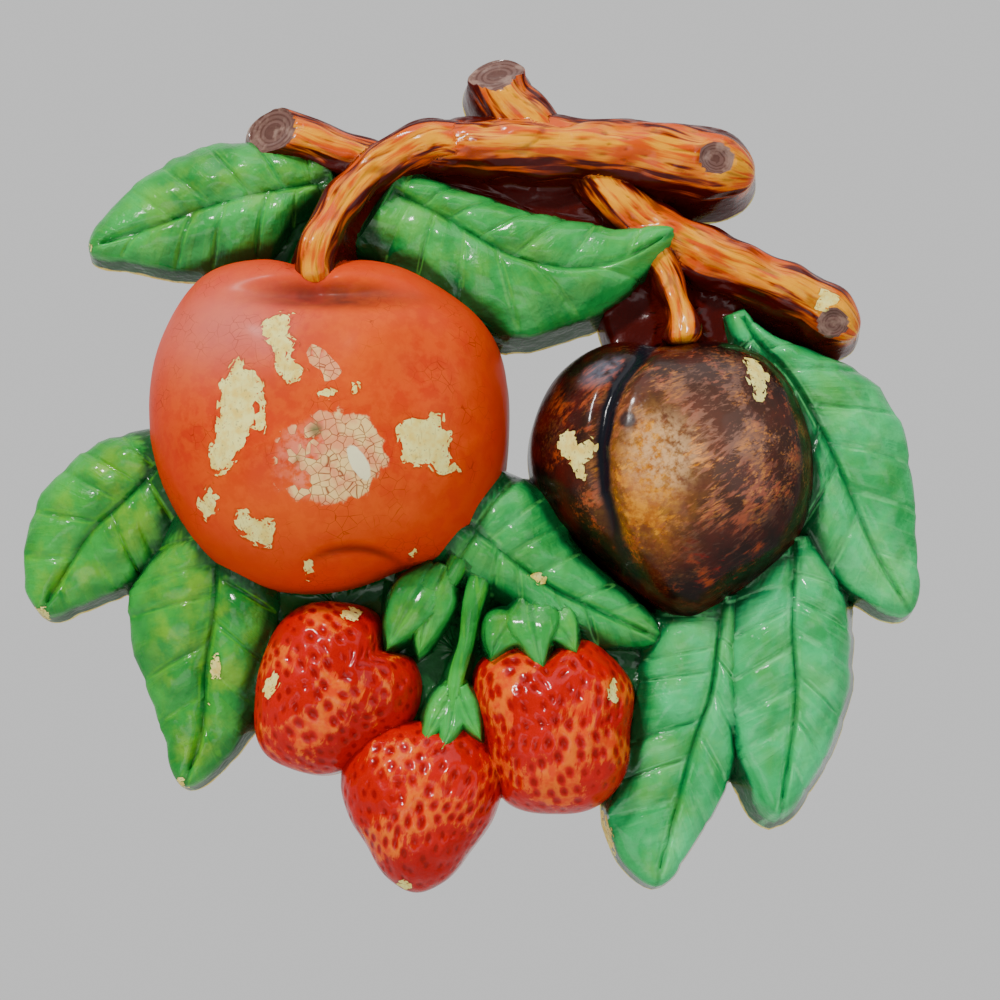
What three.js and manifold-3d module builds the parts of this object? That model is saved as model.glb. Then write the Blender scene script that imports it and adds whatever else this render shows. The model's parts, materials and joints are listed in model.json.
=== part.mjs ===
// Cast plaster fruit plaque: one casting in low relief with a flat back.
// Lengths are millimetres. +Z is up, the relief faces -Y and the back lies on the plane y = 0.
// The plan of the relief is drawn in steps, of which the plaque is 196.3 wide and 185.1 high. Points,
// paths, widths and outlines in the tables are in these steps, as [x, z] from the middle of the top
// branch, so that the plaque's width and height set them all. A rise is a height over the back, given
// in the tables as a share of the named rise of its kind. Widths are those at the top of the walls.
import * as THREE from "three";
import { mergeVertices } from "three/addons/utils/BufferGeometryUtils.js";
import Module from "manifold-3d";

// Whole casting
const PLAQUE_WIDTH = 196.3;
const PLAQUE_HEIGHT = 185.1;
const ACROSS = PLAQUE_WIDTH / 196.3;
const UP = PLAQUE_HEIGHT / 185.1;
const HANG_X = -0.8;
const HANG_Z = 2.6;
const WALL_SLOPE = 0.16;
const FRUIT_WALL_SLOPE = 0.04;
const SINK = 2;
const CLEAN_UP = 0.035;

// Nail pocket moulded in the back, its roof bearing on the nail
const POCKET_WIDTH = 9;
const POCKET_HEIGHT = 6;
const POCKET_DEPTH = 8;

// Leaves
const LEAF_RISE = 16;
const LEAF_STATIONS = [0, 0.18, 0.34, 0.5, 0.66, 0.8, 0.92, 1];
const LEAF_STEPS = 12;
const LEAF_RINGS = [0, 0.14, 0.34, 0.6, 0.86, 1];
const LEAF_SWELL = 1.5;
const MIDRIB_DEPTH = 1.3;
const MIDRIB_SHARE = 0.16;
const VEIN_DEPTH = 0.45;
const VEIN_LEAD = 0.1;
const EDGE_ROLL = 1.3;
const SPINE_START = 0.04;
const SPINE_END = 0.93;
const LEAVES = [
  {
    name: "upper left leaf",
    rib: [[-31, -7], [-58.2, -12.9], [-72.4, -17.5], [-87, -22]],
    left: [4, 7, 14.6, 14.6, 11.2, 7, 3.4],
    right: [8, 11, 14.2, 15.2, 13.4, 10.4, 6],
    ribRise: [0.812, 0.875, 0.625],
    leftRise: [0.5, 0.562],
    rightRise: [0.562, 0.5],
  },
  {
    name: "upper middle leaf",
    rib: [[-21, -9.5], [-9.7, -15.4], [0.2, -21.7], [8.9, -26.2], [19.8, -28.4], [31, -26.8], [43.4, -20]],
    left: [6, 7.8, 10.4, 11.7, 11.1, 8.5, 4.6],
    right: [16, 15.5, 16.8, 16.2, 10.4, 5.6, 2.6],
    ribRise: [0.938, 1.062, 1.156],
    leftRise: [0.75, 1.062],
    rightRise: [0.656, 1],
  },
  {
    name: "left leaf",
    rib: [[-66, -68.7], [-76.2, -78.8], [-83.5, -85.3], [-88.6, -92.9], [-94.4, -103]],
    left: [8, 12.4, 13.6, 13.6, 12.4, 8.4, 4.2],
    right: [9, 13.4, 15, 14.8, 12.8, 10, 6.4],
    ribRise: [0.938, 0.812, 0.594],
    leftRise: [0.625, 0.531],
    rightRise: [0.625, 0.531],
  },
  {
    name: "lower left leaf",
    rib: [[-57, -86], [-55.7, -100.5], [-58, -113.2], [-59.3, -130], [-62.9, -139.6]],
    left: [9, 12, 13.2, 12.8, 12.2, 8, 4],
    right: [15, 19, 19.4, 16.2, 11.8, 8.9, 5.8],
    ribRise: [1, 0.906, 0.594],
    leftRise: [0.625, 0.562],
    rightRise: [0.625, 0.562],
  },
  {
    name: "middle leaf",
    rib: [[-4, -83], [13, -96.6], [25.6, -102.9], [38.6, -108.6]],
    left: [14, 16, 13.8, 11, 8.4, 6.6, 4.4],
    right: [12, 11.4, 8.4, 7.9, 7.7, 6.4, 3.8],
    ribRise: [1.188, 1.156, 0.875],
    leftRise: [0.812, 0.812],
    rightRise: [0.75, 0.75],
  },
  {
    name: "right leaf",
    rib: [
      [56.6, -36.4], [61.1, -44.4], [67.4, -51.6], [74.7, -65.2], [79.8, -76.8], [84.8, -88.7], [92.6, -103],
    ],
    left: [1.6, 6.4, 15.4, 17.1, 14.6, 10.6, 6.2],
    right: [3, 7, 9, 11, 13.4, 11.4, 5.6],
    ribRise: [0.812, 0.938, 0.688],
    leftRise: [0.594, 0.625],
    rightRise: [0.75, 0.625],
  },
  {
    name: "lower right leaf",
    rib: [[67.4, -86], [66.8, -100], [66.6, -109], [67.2, -117.5], [66.5, -128], [63.4, -145.6]],
    left: [10, 11.6, 12.5, 11.8, 9.6, 7, 3.8],
    right: [10, 12.6, 14, 14.4, 12.6, 9.8, 5],
    ribRise: [0.938, 0.969, 0.812],
    leftRise: [0.688, 0.75],
    rightRise: [0.75, 0.875],
    wallSlope: 0.3,
  },
  {
    name: "bottom leaf",
    rib: [[52, -98], [49.5, -119.5], [45.8, -130], [42.4, -142.5], [37.4, -160.6]],
    left: [5, 5.2, 6.9, 9.6, 8.8, 6.2, 3.8],
    right: [11, 15, 15.6, 14, 12.8, 13.8, 9.4],
    ribRise: [0.938, 0.812, 0.594],
    leftRise: [0.562, 0.562],
    rightRise: [0.594, 0.625],
  },
];

// Sepals: short leaves without veins, falling from the stems over the strawberries
const SEPAL_STATIONS = [0, 0.35, 0.7, 1];
const SEPAL_RISE = 20;
const SEPAL_FALL = 0.5;
const SEPAL_STEPS = 6;
const SEPAL_RINGS = [0, 0.55, 1];
const SEPALS = [
  { rib: [[-9, -93], [-15, -103], [-19.4, -111.4]], half: [4, 5, 3.4], rise: [0.8, 0.925, 0.825] },
  { rib: [[-7, -93], [-10.5, -103], [-12.6, -112.4]], half: [4, 4.6, 3], rise: [0.85, 0.875, 0.8] },
  { rib: [[-5, -119], [-9, -126], [-11.8, -131.6]], half: [2.4, 2.8, 1.8], rise: [0.8, 0.875, 0.9] },
  { rib: [[-5.2, -120], [-6, -128], [-8.4, -133.2]], half: [2.4, 2.8, 1.6], rise: [0.8, 0.9, 0.95] },
  { rib: [[-4.4, -119], [-2, -125], [0.8, -130.4]], half: [2.4, 2.8, 1.8], rise: [0.8, 0.875, 0.9] },
  { rib: [[9, -103], [4.6, -108.4], [2.6, -113.4]], half: [3.6, 4.4, 2.6], rise: [0.9, 0.925, 0.9] },
  { rib: [[11.4, -102], [12.2, -110], [13.6, -116]], half: [4.6, 5.2, 2.8], rise: [0.95, 1, 0.975] },
  { rib: [[13, -103], [18, -107.4], [20.6, -112]], half: [3.6, 4, 2.4], rise: [0.9, 0.925, 0.925] },
];

// Fruit: outline radius by angle in degrees from +x, turning toward +z
const APPLE_CENTRE = [-32.5, -61.5];
const APPLE_RISE = 37;
const APPLE_WIDEST = 9;
const APPLE_OUTLINE = [
  [0, 38.8], [27, 40.2], [50, 38], [70, 36.9], [84, 35], [93, 31.6], [103, 35], [113, 38.6], [130, 42.2],
  [152, 40.8], [180, 38.8], [212, 38.3], [228, 39.2], [246, 38.7], [270, 37], [295, 36], [312, 39],
  [340, 39.3],
];
const APPLE_FULLNESS = 2.35;
const CAVITY = { x: -33.5, z: -37.4, halfWidth: 18, halfHeight: 3.4, depth: 4.6 };
const BLOSSOM_FOLD = { x: -25.5, z: -92, halfWidth: 8, halfHeight: 1.7, bow: 0.034, depth: 1.5 };

const PLUM_CENTRE = [40, -72];
const PLUM_RISE = 33;
const PLUM_WIDEST = 9;
const PLUM_OUTLINE = [
  [0, 32.2], [22, 32.5], [46, 33.2], [66, 30.6], [86, 26.8], [94, 27.2], [110, 30], [133, 31], [155, 30.2],
  [178, 28.8], [200, 26.1], [232, 24], [258, 27.6], [279, 33], [296, 31], [314, 31.4], [335, 32.4],
];
const PLUM_FULLNESS = 2.2;
const SUTURE = [
  [38, -45], [33.8, -51], [30, -56], [27.6, -62], [26.2, -70], [26.6, -79], [29.4, -88], [34, -97],
];
const SUTURE_DEPTH = 3.4;
const SUTURE_HALF_WIDTH = 2;
const SMALL_LOBE_DROP = 2.2;

const BERRY_RISE = 24;
const BERRY_WIDEST = 7;
const BERRY_FULLNESS = 2.3;
const BERRIES = [
  {
    name: "left strawberry",
    centre: [-31, -119],
    rise: 0.917,
    outline: [
      [20, 18.2], [37, 13.6], [58, 18.2], [84, 18.6], [113, 19.1], [126, 18.6], [154, 16.7], [188, 17],
      [221, 20.1], [242, 19.3], [268, 18.2], [296, 15.7], [315, 15.6], [343, 18.7],
    ],
  },
  {
    name: "middle strawberry",
    centre: [-12, -143],
    rise: 0.917,
    outline: [
      [18, 18.1], [45, 19.6], [70, 18.4], [93, 17.2], [115, 18.6], [140, 19.4], [162, 18.2], [190, 15.9],
      [218, 14.8], [247, 17.6], [266, 19], [283, 17.7], [315, 14.6], [352, 15.7],
    ],
  },
  {
    name: "right strawberry",
    centre: [16, -127],
    rise: 1,
    outline: [
      [27, 19], [52, 19.4], [75, 19.9], [98, 14.8], [115, 19.2], [141, 21.2], [157, 19], [180, 15.6],
      [222, 16.4], [237, 18.9], [270, 18.6], [297, 19.3], [323, 18.6], [357, 16.4],
    ],
  },
];

// Branches: rounded ridges along a path, each with a rounded end, its nose.
// A cut slants down from the crest to the end, over its reach.
const BRANCH_RISE = 19;
const BRANCH_ARC_STEPS = 8;
const NOSE_TURNS = [0, 32, 60, 84];
const CUT_DISH = 0.9;
const BRANCHES = [
  {
    name: "top branch",
    path: [[-14, -1.6], [-5, -0.2], [6, -0.2], [18, -0.4], [31, -1.1], [44, -3], [53, -4.3], [61, -6.2]],
    half: [4.4, 6.7, 6.9, 7.1, 7.4, 8, 8.5, 8.5],
    rise: [0.816, 0.974, 1, 1, 1, 1.01, 1.01, 0.979],
    nose: 12,
  },
  {
    name: "upper stub",
    path: [[18, -2], [11, 5.4], [5.6, 12], [2.5, 21.1]],
    half: [7.6, 7.2, 6.9, 6.4],
    rise: [0.842, 0.895, 0.916, 0.895],
    nose: 6,
    cut: { reach: 9.5, slope: 0.85 },
  },
  {
    name: "left stub",
    path: [[-19, -4.6], [-30, -1.4], [-40, 2.2], [-51.6, 5.6]],
    half: [5.2, 5, 5.4, 5.7],
    rise: [0.789, 0.842, 0.895, 0.895],
    nose: 6.5,
    cut: { reach: 12, slope: 0.8 },
  },
  {
    name: "apple stem",
    path: [[-8, 1], [-16, -1.6], [-24, -7], [-30.2, -15.6], [-33.6, -24], [-34.6, -30.6], [-33.8, -35]],
    half: [5.6, 5.4, 5, 4.6, 4.3, 4.4, 4.8],
    rise: [0.895, 0.974, 1, 1.079, 1.263, 1.474, 1.421],
    nose: 3,
  },
  {
    name: "lower right branch",
    path: [[27, -9], [37, -17.4], [50, -24.6], [64, -31], [74, -36], [82.8, -42]],
    half: [4.6, 6.4, 6.6, 6.4, 6.4, 6.4],
    rise: [0.789, 0.816, 0.895, 0.895, 0.895, 0.863],
    nose: 8,
  },
  {
    name: "plum twig",
    path: [[38, -22], [41.6, -31], [43.6, -40], [44, -46]],
    half: [4.8, 3.6, 3.4, 4.4],
    rise: [0.816, 0.842, 1, 1.105],
    nose: 2,
  },
  {
    name: "strawberry stem",
    path: [[-0.6, -99], [-2.6, -109], [-4.8, -118], [-5.8, -125]],
    half: [2.4, 1.9, 1.7, 1.7],
    rise: [0.947, 0.868, 0.842, 0.895],
    nose: 1,
  },
  {
    name: "leaf stalk",
    path: [[-4, -92], [-9, -101], [-12, -109]],
    half: [2.6, 2.2, 2],
    rise: [0.947, 0.842, 0.737],
    nose: 1,
  },
];

// Knots: cut ends turned to the front, each an oval of two half sizes with a sunk heart
const KNOT_STEPS = 12;
const KNOT_SLOPE = 0.3;
const KNOT_RIM_SHARE = 0.7;
const KNOT_SINK = 0.9;
const KNOTS = [
  { centre: [51.6, -4.6], half: [3.7, 3.2], turn: -12, rise: 1.032 },
  { centre: [76.6, -40.6], half: [3.3, 2.8], turn: 0, rise: 0.916 },
];

// Webs: the low ground between the raised forms
const WEB_RISE = 9;
const WEBS = [
  { rise: 0.722, outline: [[-32, -5], [-20, -14], [-26, -30], [-44, -30], [-51, -25], [-44, -16]] },
  { rise: 1, outline: [[-26, -2], [40, -6], [42, -20], [30, -19], [8, -16], [-8, -10], [-22, -12]] },
  { rise: 0.944, outline: [[28, -22], [60, -30], [60, -46], [52, -48], [30, -46], [27.6, -38]] },
  { rise: 1, outline: [[-20, -92], [4, -88], [14, -102], [6, -118], [-3, -134], [-14, -132], [-22, -112]] },
  { rise: 0.889, outline: [[22, -106], [54, -98], [52, -122], [34, -128], [24, -120]] },
  { rise: 0.833, outline: [[-52, -88], [-10, -92], [-10, -112], [-48, -116]] },
  { rise: 1, outline: [[0, -70], [10, -74], [20, -84], [20, -96], [0, -96]] },
];

const PLASTER_COLOUR = 0xb8602c;
const PLASTER_ROUGHNESS = 0.3;
const PLASTER_METALNESS = 0;

function blend(a, b, t) {
  return a + (b - a) * t;
}

// Smooth curve through evenly or unevenly spaced knots, at place t
function curveAt(knots, values, t) {
  const last = knots.length - 1;
  let k = 0;
  while (k < last - 1 && t > knots[k + 1]) k += 1;
  const span = knots[k + 1] - knots[k];
  const u = Math.min(1, Math.max(0, (t - knots[k]) / span));
  const slopeAt = (i) => {
    const lo = Math.max(0, i - 1);
    const hi = Math.min(last, i + 1);
    return (values[hi] - values[lo]) / (knots[hi] - knots[lo]);
  };
  const startSlope = slopeAt(k) * span;
  const endSlope = slopeAt(k + 1) * span;
  const cube = u * u * u;
  const square = u * u;
  const rise = 3 * square - 2 * cube;
  return blend(values[k], values[k + 1], rise)
    + (cube - 2 * square + u) * startSlope
    + (cube - square) * endSlope;
}

function evenKnots(values) {
  return values.map((_, i) => i / (values.length - 1));
}

// Distance along a path to each of its points
function runsOf(points) {
  const runs = [0];
  for (let i = 1; i < points.length; i += 1) {
    const step = Math.hypot(points[i][0] - points[i - 1][0], points[i][1] - points[i - 1][1]);
    runs.push(runs[i - 1] + step);
  }
  return runs;
}

function pathLength(points) {
  return runsOf(points)[points.length - 1];
}

function pathAt(points, t) {
  const runs = runsOf(points);
  const knots = runs.map((run) => run / runs[runs.length - 1]);
  return [0, 1].map((axis) => curveAt(knots, points.map((p) => p[axis]), t));
}

// Unit vector along a path and the one on its left
function headingAt(points, t) {
  const reach = 0.01;
  const a = pathAt(points, Math.max(0, t - reach));
  const b = pathAt(points, Math.min(1, t + reach));
  const size = Math.hypot(b[0] - a[0], b[1] - a[1]);
  const along = [(b[0] - a[0]) / size, (b[1] - a[1]) / size];
  return { along, left: [-along[1], along[0]] };
}

// Outline radius at an angle in degrees
function outlineRadius(outline, degrees) {
  const wrapped = [];
  for (const turn of [-360, 0, 360]) {
    for (const [angle, radius] of outline) wrapped.push([angle + turn, radius]);
  }
  return curveAt(wrapped.map((p) => p[0]), wrapped.map((p) => p[1]), degrees);
}

// Closed surface through rings of [x, z, rise] points, with one last point at each end
function ringSolid(rings, first, last) {
  const points = [first, ...rings.flat(), last];
  const count = rings[0].length;
  const faces = [];
  const at = (ring, i) => 1 + ring * count + (i % count);
  for (let i = 0; i < count; i += 1) faces.push([0, at(0, i), at(0, i + 1)]);
  for (let r = 0; r + 1 < rings.length; r += 1) {
    for (let i = 0; i < count; i += 1) {
      faces.push([at(r, i), at(r + 1, i), at(r + 1, i + 1)]);
      faces.push([at(r, i), at(r + 1, i + 1), at(r, i + 1)]);
    }
  }
  const end = points.length - 1;
  for (let i = 0; i < count; i += 1) faces.push([end, at(rings.length - 1, i + 1), at(rings.length - 1, i)]);
  const geometry = new THREE.BufferGeometry();
  const positions = points.flatMap(([x, z, rise]) => [x * ACROSS, -rise, z * UP]);
  geometry.setAttribute("position", new THREE.Float32BufferAttribute(positions, 3));
  geometry.setIndex(faces.flat());
  return geometry;
}

// A mound: rings from its spine out to its rim, then a sloping wall down through the back plane
function mound(spine, rim, shares, riseAt, slope = WALL_SLOPE) {
  const count = rim.length;
  const rings = shares.map((share) => rim.map((edge, i) => {
    const x = blend(spine[i][0], edge[0], share);
    const z = blend(spine[i][1], edge[1], share);
    return [x, z, riseAt(share, i, x, z)];
  }));
  const top = rings[rings.length - 1];
  const foot = top.map(([x, z, rise], i) => {
    const before = top[(i + count - 1) % count];
    const after = top[(i + 1) % count];
    const size = Math.hypot(after[0] - before[0], after[1] - before[1]);
    const out = (rise + SINK) * slope;
    return [x + ((after[1] - before[1]) / size) * out, z - ((after[0] - before[0]) / size) * out, -SINK];
  });
  const middle = [0, 1].map((axis) => foot.reduce((sum, p) => sum + p[axis], 0) / count);
  return ringSolid([...rings, foot], rings[0][0], [...middle, -SINK]);
}

function fruit({ centre, outline, rise, widest, fullness, steps, rings, relief }) {
  const spine = [];
  const rim = [];
  for (let i = 0; i < steps; i += 1) {
    const degrees = (360 * i) / steps;
    const radius = outlineRadius(outline, degrees);
    const angle = THREE.MathUtils.degToRad(degrees);
    spine.push(centre);
    rim.push([centre[0] + radius * Math.cos(angle), centre[1] + radius * Math.sin(angle)]);
  }
  const shares = [];
  for (let r = 0; r <= rings; r += 1) shares.push(Math.sin((Math.PI / 2) * (r / rings)));
  return mound(spine, rim, shares, (share, i, x, z) => {
    const dome = Math.pow(Math.max(0, 1 - Math.pow(share, fullness)), 1 / fullness);
    return widest + (rise - widest) * dome - relief(x, z) * Math.min(1, 2 * dome);
  }, FRUIT_WALL_SLOPE);
}

function leaf({ rib, left, right, ribRise, leftRise, rightRise, wallSlope = WALL_SLOPE }) {
  const leftWidths = [...left, 0];
  const rightWidths = [...right, 0];
  const spine = [];
  const rim = [];
  const places = [];
  const push = (u, side) => {
    const widths = side > 0 ? leftWidths : rightWidths;
    const width = Math.max(0, curveAt(LEAF_STATIONS, widths, u)) * side;
    const point = pathAt(rib, u);
    const normal = headingAt(rib, u).left;
    const back = u - VEIN_LEAD * Math.sin(Math.PI * u);
    spine.push(pathAt(rib, blend(SPINE_START, SPINE_END, back)));
    rim.push([point[0] + normal[0] * width, point[1] + normal[1] * width]);
    const [edgeStart, edgeEnd] = side > 0 ? leftRise : rightRise;
    places.push({ u, edge: LEAF_RISE * blend(edgeStart, edgeEnd, u), vein: Math.round(u * LEAF_STEPS) % 2 });
  };
  for (let i = 0; i <= LEAF_STEPS; i += 1) push(i / LEAF_STEPS, -1);
  for (let i = LEAF_STEPS - 1; i >= 0; i -= 1) push(i / LEAF_STEPS, 1);
  return mound(spine, rim, LEAF_RINGS, (share, i) => {
    const { u, edge, vein } = places[i];
    const crown = LEAF_RISE * curveAt(evenKnots(ribRise), ribRise, u);
    const bulge = 4 * share * (1 - share);
    const valley = Math.exp(-Math.pow(share / MIDRIB_SHARE, 2));
    return blend(crown, edge, share * share) + LEAF_SWELL * bulge * Math.sin(Math.PI * Math.min(1, u + 0.15))
      - MIDRIB_DEPTH * valley - VEIN_DEPTH * vein * bulge - EDGE_ROLL * Math.pow(share, 6);
  }, wallSlope);
}

function sepal({ rib, half, rise }) {
  const widths = [...half, 0];
  const spine = [];
  const rim = [];
  const places = [];
  const push = (u, side) => {
    const width = Math.max(0, curveAt(SEPAL_STATIONS, widths, u)) * side;
    const point = pathAt(rib, u);
    const normal = headingAt(rib, u).left;
    spine.push(pathAt(rib, blend(SPINE_START, SPINE_END, u)));
    rim.push([point[0] + normal[0] * width, point[1] + normal[1] * width]);
    places.push(u);
  };
  for (let i = 0; i <= SEPAL_STEPS; i += 1) push(i / SEPAL_STEPS, -1);
  for (let i = SEPAL_STEPS - 1; i >= 0; i -= 1) push(i / SEPAL_STEPS, 1);
  return mound(spine, rim, SEPAL_RINGS, (share, i) => {
    return SEPAL_RISE * curveAt(evenKnots(rise), rise, places[i]) - share * share * half[0] * SEPAL_FALL;
  });
}

function branch({ path, half, rise, nose, cut }) {
  const length = pathLength(path);
  const bodySteps = (path.length - 1) * 2;
  const stations = [];
  for (let k = 0; k < bodySteps; k += 1) {
    stations.push({ run: ((length - nose) * k) / bodySteps, narrowing: 1 });
  }
  for (const degrees of NOSE_TURNS) {
    const turn = THREE.MathUtils.degToRad(degrees);
    stations.push({ run: length - nose + nose * Math.sin(turn), narrowing: Math.cos(turn) });
  }
  const rings = stations.map(({ run, narrowing }) => {
    const t = run / length;
    const centre = pathAt(path, t);
    const { along, left } = headingAt(path, t);
    const full = curveAt(evenKnots(half), half, t);
    const width = full * narrowing;
    const top = BRANCH_RISE * curveAt(evenKnots(rise), rise, t);
    const axis = top - full;
    const spread = (axis + SINK) * WALL_SLOPE;
    const section = [];
    const place = (across, height, forward) => section.push([
      centre[0] + left[0] * across + along[0] * forward,
      centre[1] + left[1] * across + along[1] * forward,
      height,
    ]);
    const cutHeight = (across, height) => {
      if (!cut) return height;
      const face = top - cut.slope * (run - length + cut.reach);
      const fromHeart = Math.hypot(((run - length) * 2) / cut.reach + 1, across / full);
      const dish = CUT_DISH * Math.max(0, 1 - fromHeart * fromHeart);
      return height > face ? face - dish : height;
    };
    const footForward = spread * Math.sqrt(1 - narrowing * narrowing);
    place(-width - spread * narrowing, -SINK, footForward);
    for (let a = 0; a <= BRANCH_ARC_STEPS; a += 1) {
      const angle = (Math.PI * a) / BRANCH_ARC_STEPS;
      const across = -width * Math.cos(angle);
      place(across, cutHeight(across, axis + width * Math.sin(angle)), 0);
    }
    place(width + spread * narrowing, -SINK, footForward);
    return section;
  });
  const middleOf = (section) => [0, 1, 2].map((i) => section.reduce((s, p) => s + p[i], 0) / section.length);
  return ringSolid(rings, middleOf(rings[0]), middleOf(rings[rings.length - 1]));
}

function knot({ centre, half, turn, rise }) {
  const angle = THREE.MathUtils.degToRad(turn);
  const rim = [];
  for (let i = 0; i < KNOT_STEPS; i += 1) {
    const around = (2 * Math.PI * i) / KNOT_STEPS;
    const across = half[0] * Math.cos(around);
    const upward = half[1] * Math.sin(around);
    rim.push([
      centre[0] + across * Math.cos(angle) - upward * Math.sin(angle),
      centre[1] + across * Math.sin(angle) + upward * Math.cos(angle),
    ]);
  }
  const riseAt = (share) => BRANCH_RISE * rise - (share < 1 ? KNOT_SINK : 0);
  return mound(rim.map(() => centre), rim, [0, KNOT_RIM_SHARE, 1], riseAt, KNOT_SLOPE);
}

function web({ rise, outline }) {
  const middle = [0, 1].map((axis) => outline.reduce((sum, p) => sum + p[axis], 0) / outline.length);
  const area = outline.reduce((sum, p, i) => {
    const q = outline[(i + 1) % outline.length];
    return sum + p[0] * q[1] - q[0] * p[1];
  }, 0);
  const rim = area > 0 ? outline : [...outline].reverse();
  return mound(rim.map(() => middle), rim, [0, 1], () => WEB_RISE * rise);
}

// Depth of the groove that divides the plum, deepest on its line, with the small lobe set lower
function sutureRelief(x, z) {
  let nearest = Infinity;
  let side = 0;
  let place = 0;
  const pieces = SUTURE.length - 1;
  for (let i = 0; i < pieces; i += 1) {
    const [ax, az] = SUTURE[i];
    const dx = SUTURE[i + 1][0] - ax;
    const dz = SUTURE[i + 1][1] - az;
    const t = Math.min(1, Math.max(0, ((x - ax) * dx + (z - az) * dz) / (dx * dx + dz * dz)));
    const gap = Math.hypot(x - ax - t * dx, z - az - t * dz);
    if (gap < nearest) {
      nearest = gap;
      side = Math.sign((x - ax) * dz - (z - az) * dx);
      place = (i + t) / pieces;
    }
  }
  const fade = Math.min(1, 1.25 - place);
  const groove = SUTURE_DEPTH * fade * Math.exp(-Math.pow(nearest / SUTURE_HALF_WIDTH, 2));
  const lobe = side > 0 ? SMALL_LOBE_DROP * fade * (1 - Math.exp(-nearest / SUTURE_HALF_WIDTH)) : 0;
  return groove + lobe;
}

function appleRelief(x, z) {
  const across = (x - CAVITY.x) / CAVITY.halfWidth;
  const upward = (z - CAVITY.z) / CAVITY.halfHeight;
  const cavity = CAVITY.depth * Math.exp(-across * across - upward * upward);
  const foldX = x - BLOSSOM_FOLD.x;
  const foldZ = z - BLOSSOM_FOLD.z + BLOSSOM_FOLD.bow * foldX * foldX;
  const foldAcross = foldX / BLOSSOM_FOLD.halfWidth;
  const foldUp = foldZ / BLOSSOM_FOLD.halfHeight;
  return cavity + BLOSSOM_FOLD.depth * Math.exp(-Math.pow(foldAcross, 4) - foldUp * foldUp);
}

function nailPocket() {
  const box = new THREE.BoxGeometry(POCKET_WIDTH, POCKET_DEPTH + SINK, POCKET_HEIGHT);
  box.translate(HANG_X, (SINK - POCKET_DEPTH) / 2, HANG_Z - POCKET_HEIGHT / 2);
  return box;
}

const wasm = await Module();
wasm.setup();

// A closed solid from a surface, its coincident corners shared and its empty triangles left out
function solidOf(geometry) {
  const bare = geometry.clone();
  bare.deleteAttribute("normal");
  bare.deleteAttribute("uv");
  const merged = mergeVertices(bare, 1e-4);
  const corners = merged.index.array;
  const kept = [];
  for (let i = 0; i < corners.length; i += 3) {
    const [a, b, c] = [corners[i], corners[i + 1], corners[i + 2]];
    if (a !== b && b !== c && c !== a) kept.push(a, b, c);
  }
  return new wasm.Manifold(new wasm.Mesh({
    numProp: 3,
    vertProperties: new Float32Array(merged.attributes.position.array),
    triVerts: new Uint32Array(kept),
  }));
}

function geometryOf(solid) {
  const mesh = solid.getMesh();
  const geometry = new THREE.BufferGeometry();
  geometry.setAttribute("position", new THREE.Float32BufferAttribute(mesh.vertProperties, 3));
  geometry.setIndex(Array.from(mesh.triVerts));
  const faceted = geometry.toNonIndexed();
  faceted.computeVertexNormals();
  return faceted;
}

const forms = [
  fruit({
    centre: APPLE_CENTRE,
    outline: APPLE_OUTLINE,
    rise: APPLE_RISE,
    widest: APPLE_WIDEST,
    fullness: APPLE_FULLNESS,
    steps: 48,
    rings: 12,
    relief: appleRelief,
  }),
  fruit({
    centre: PLUM_CENTRE,
    outline: PLUM_OUTLINE,
    rise: PLUM_RISE,
    widest: PLUM_WIDEST,
    fullness: PLUM_FULLNESS,
    steps: 44,
    rings: 12,
    relief: sutureRelief,
  }),
  ...BERRIES.map(({ centre, outline, rise }) => fruit({
    centre,
    outline,
    rise: BERRY_RISE * rise,
    widest: BERRY_WIDEST,
    fullness: BERRY_FULLNESS,
    steps: 28,
    rings: 7,
    relief: () => 0,
  })),
  ...LEAVES.map(leaf),
  ...SEPALS.map(sepal),
  ...BRANCHES.map(branch),
  ...KNOTS.map(knot),
  ...WEBS.map(web),
];

const joined = wasm.Manifold.union(forms.map(solidOf));
const flatBacked = joined.trimByPlane([0, -1, 0], 0);
const casting = flatBacked.subtract(solidOf(nailPocket())).simplify(CLEAN_UP);
const plaque = geometryOf(casting);
plaque.translate(-HANG_X, 0, -HANG_Z);

const material = new THREE.MeshStandardMaterial({
  color: PLASTER_COLOUR,
  roughness: PLASTER_ROUGHNESS,
  metalness: PLASTER_METALNESS,
});
const mesh = new THREE.Mesh(plaque, material);
mesh.name = "plaque";

const group = new THREE.Group();
group.add(mesh);
export default group;
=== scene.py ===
"""Painted and varnished plaster fruit plaque: the casting's relief, its chipped paint and its studio.

The forms are built on the plaque's plan, in millimetres as [x, z] from the middle of the top branch,
with a rise over the flat back. They are joined into one casting, moved so that the nail bears at the
origin, and painted from fields that are worked out on the joined surface.
"""

import json
import math

import bpy
import numpy as np
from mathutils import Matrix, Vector
from mathutils.kdtree import KDTree

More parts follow.
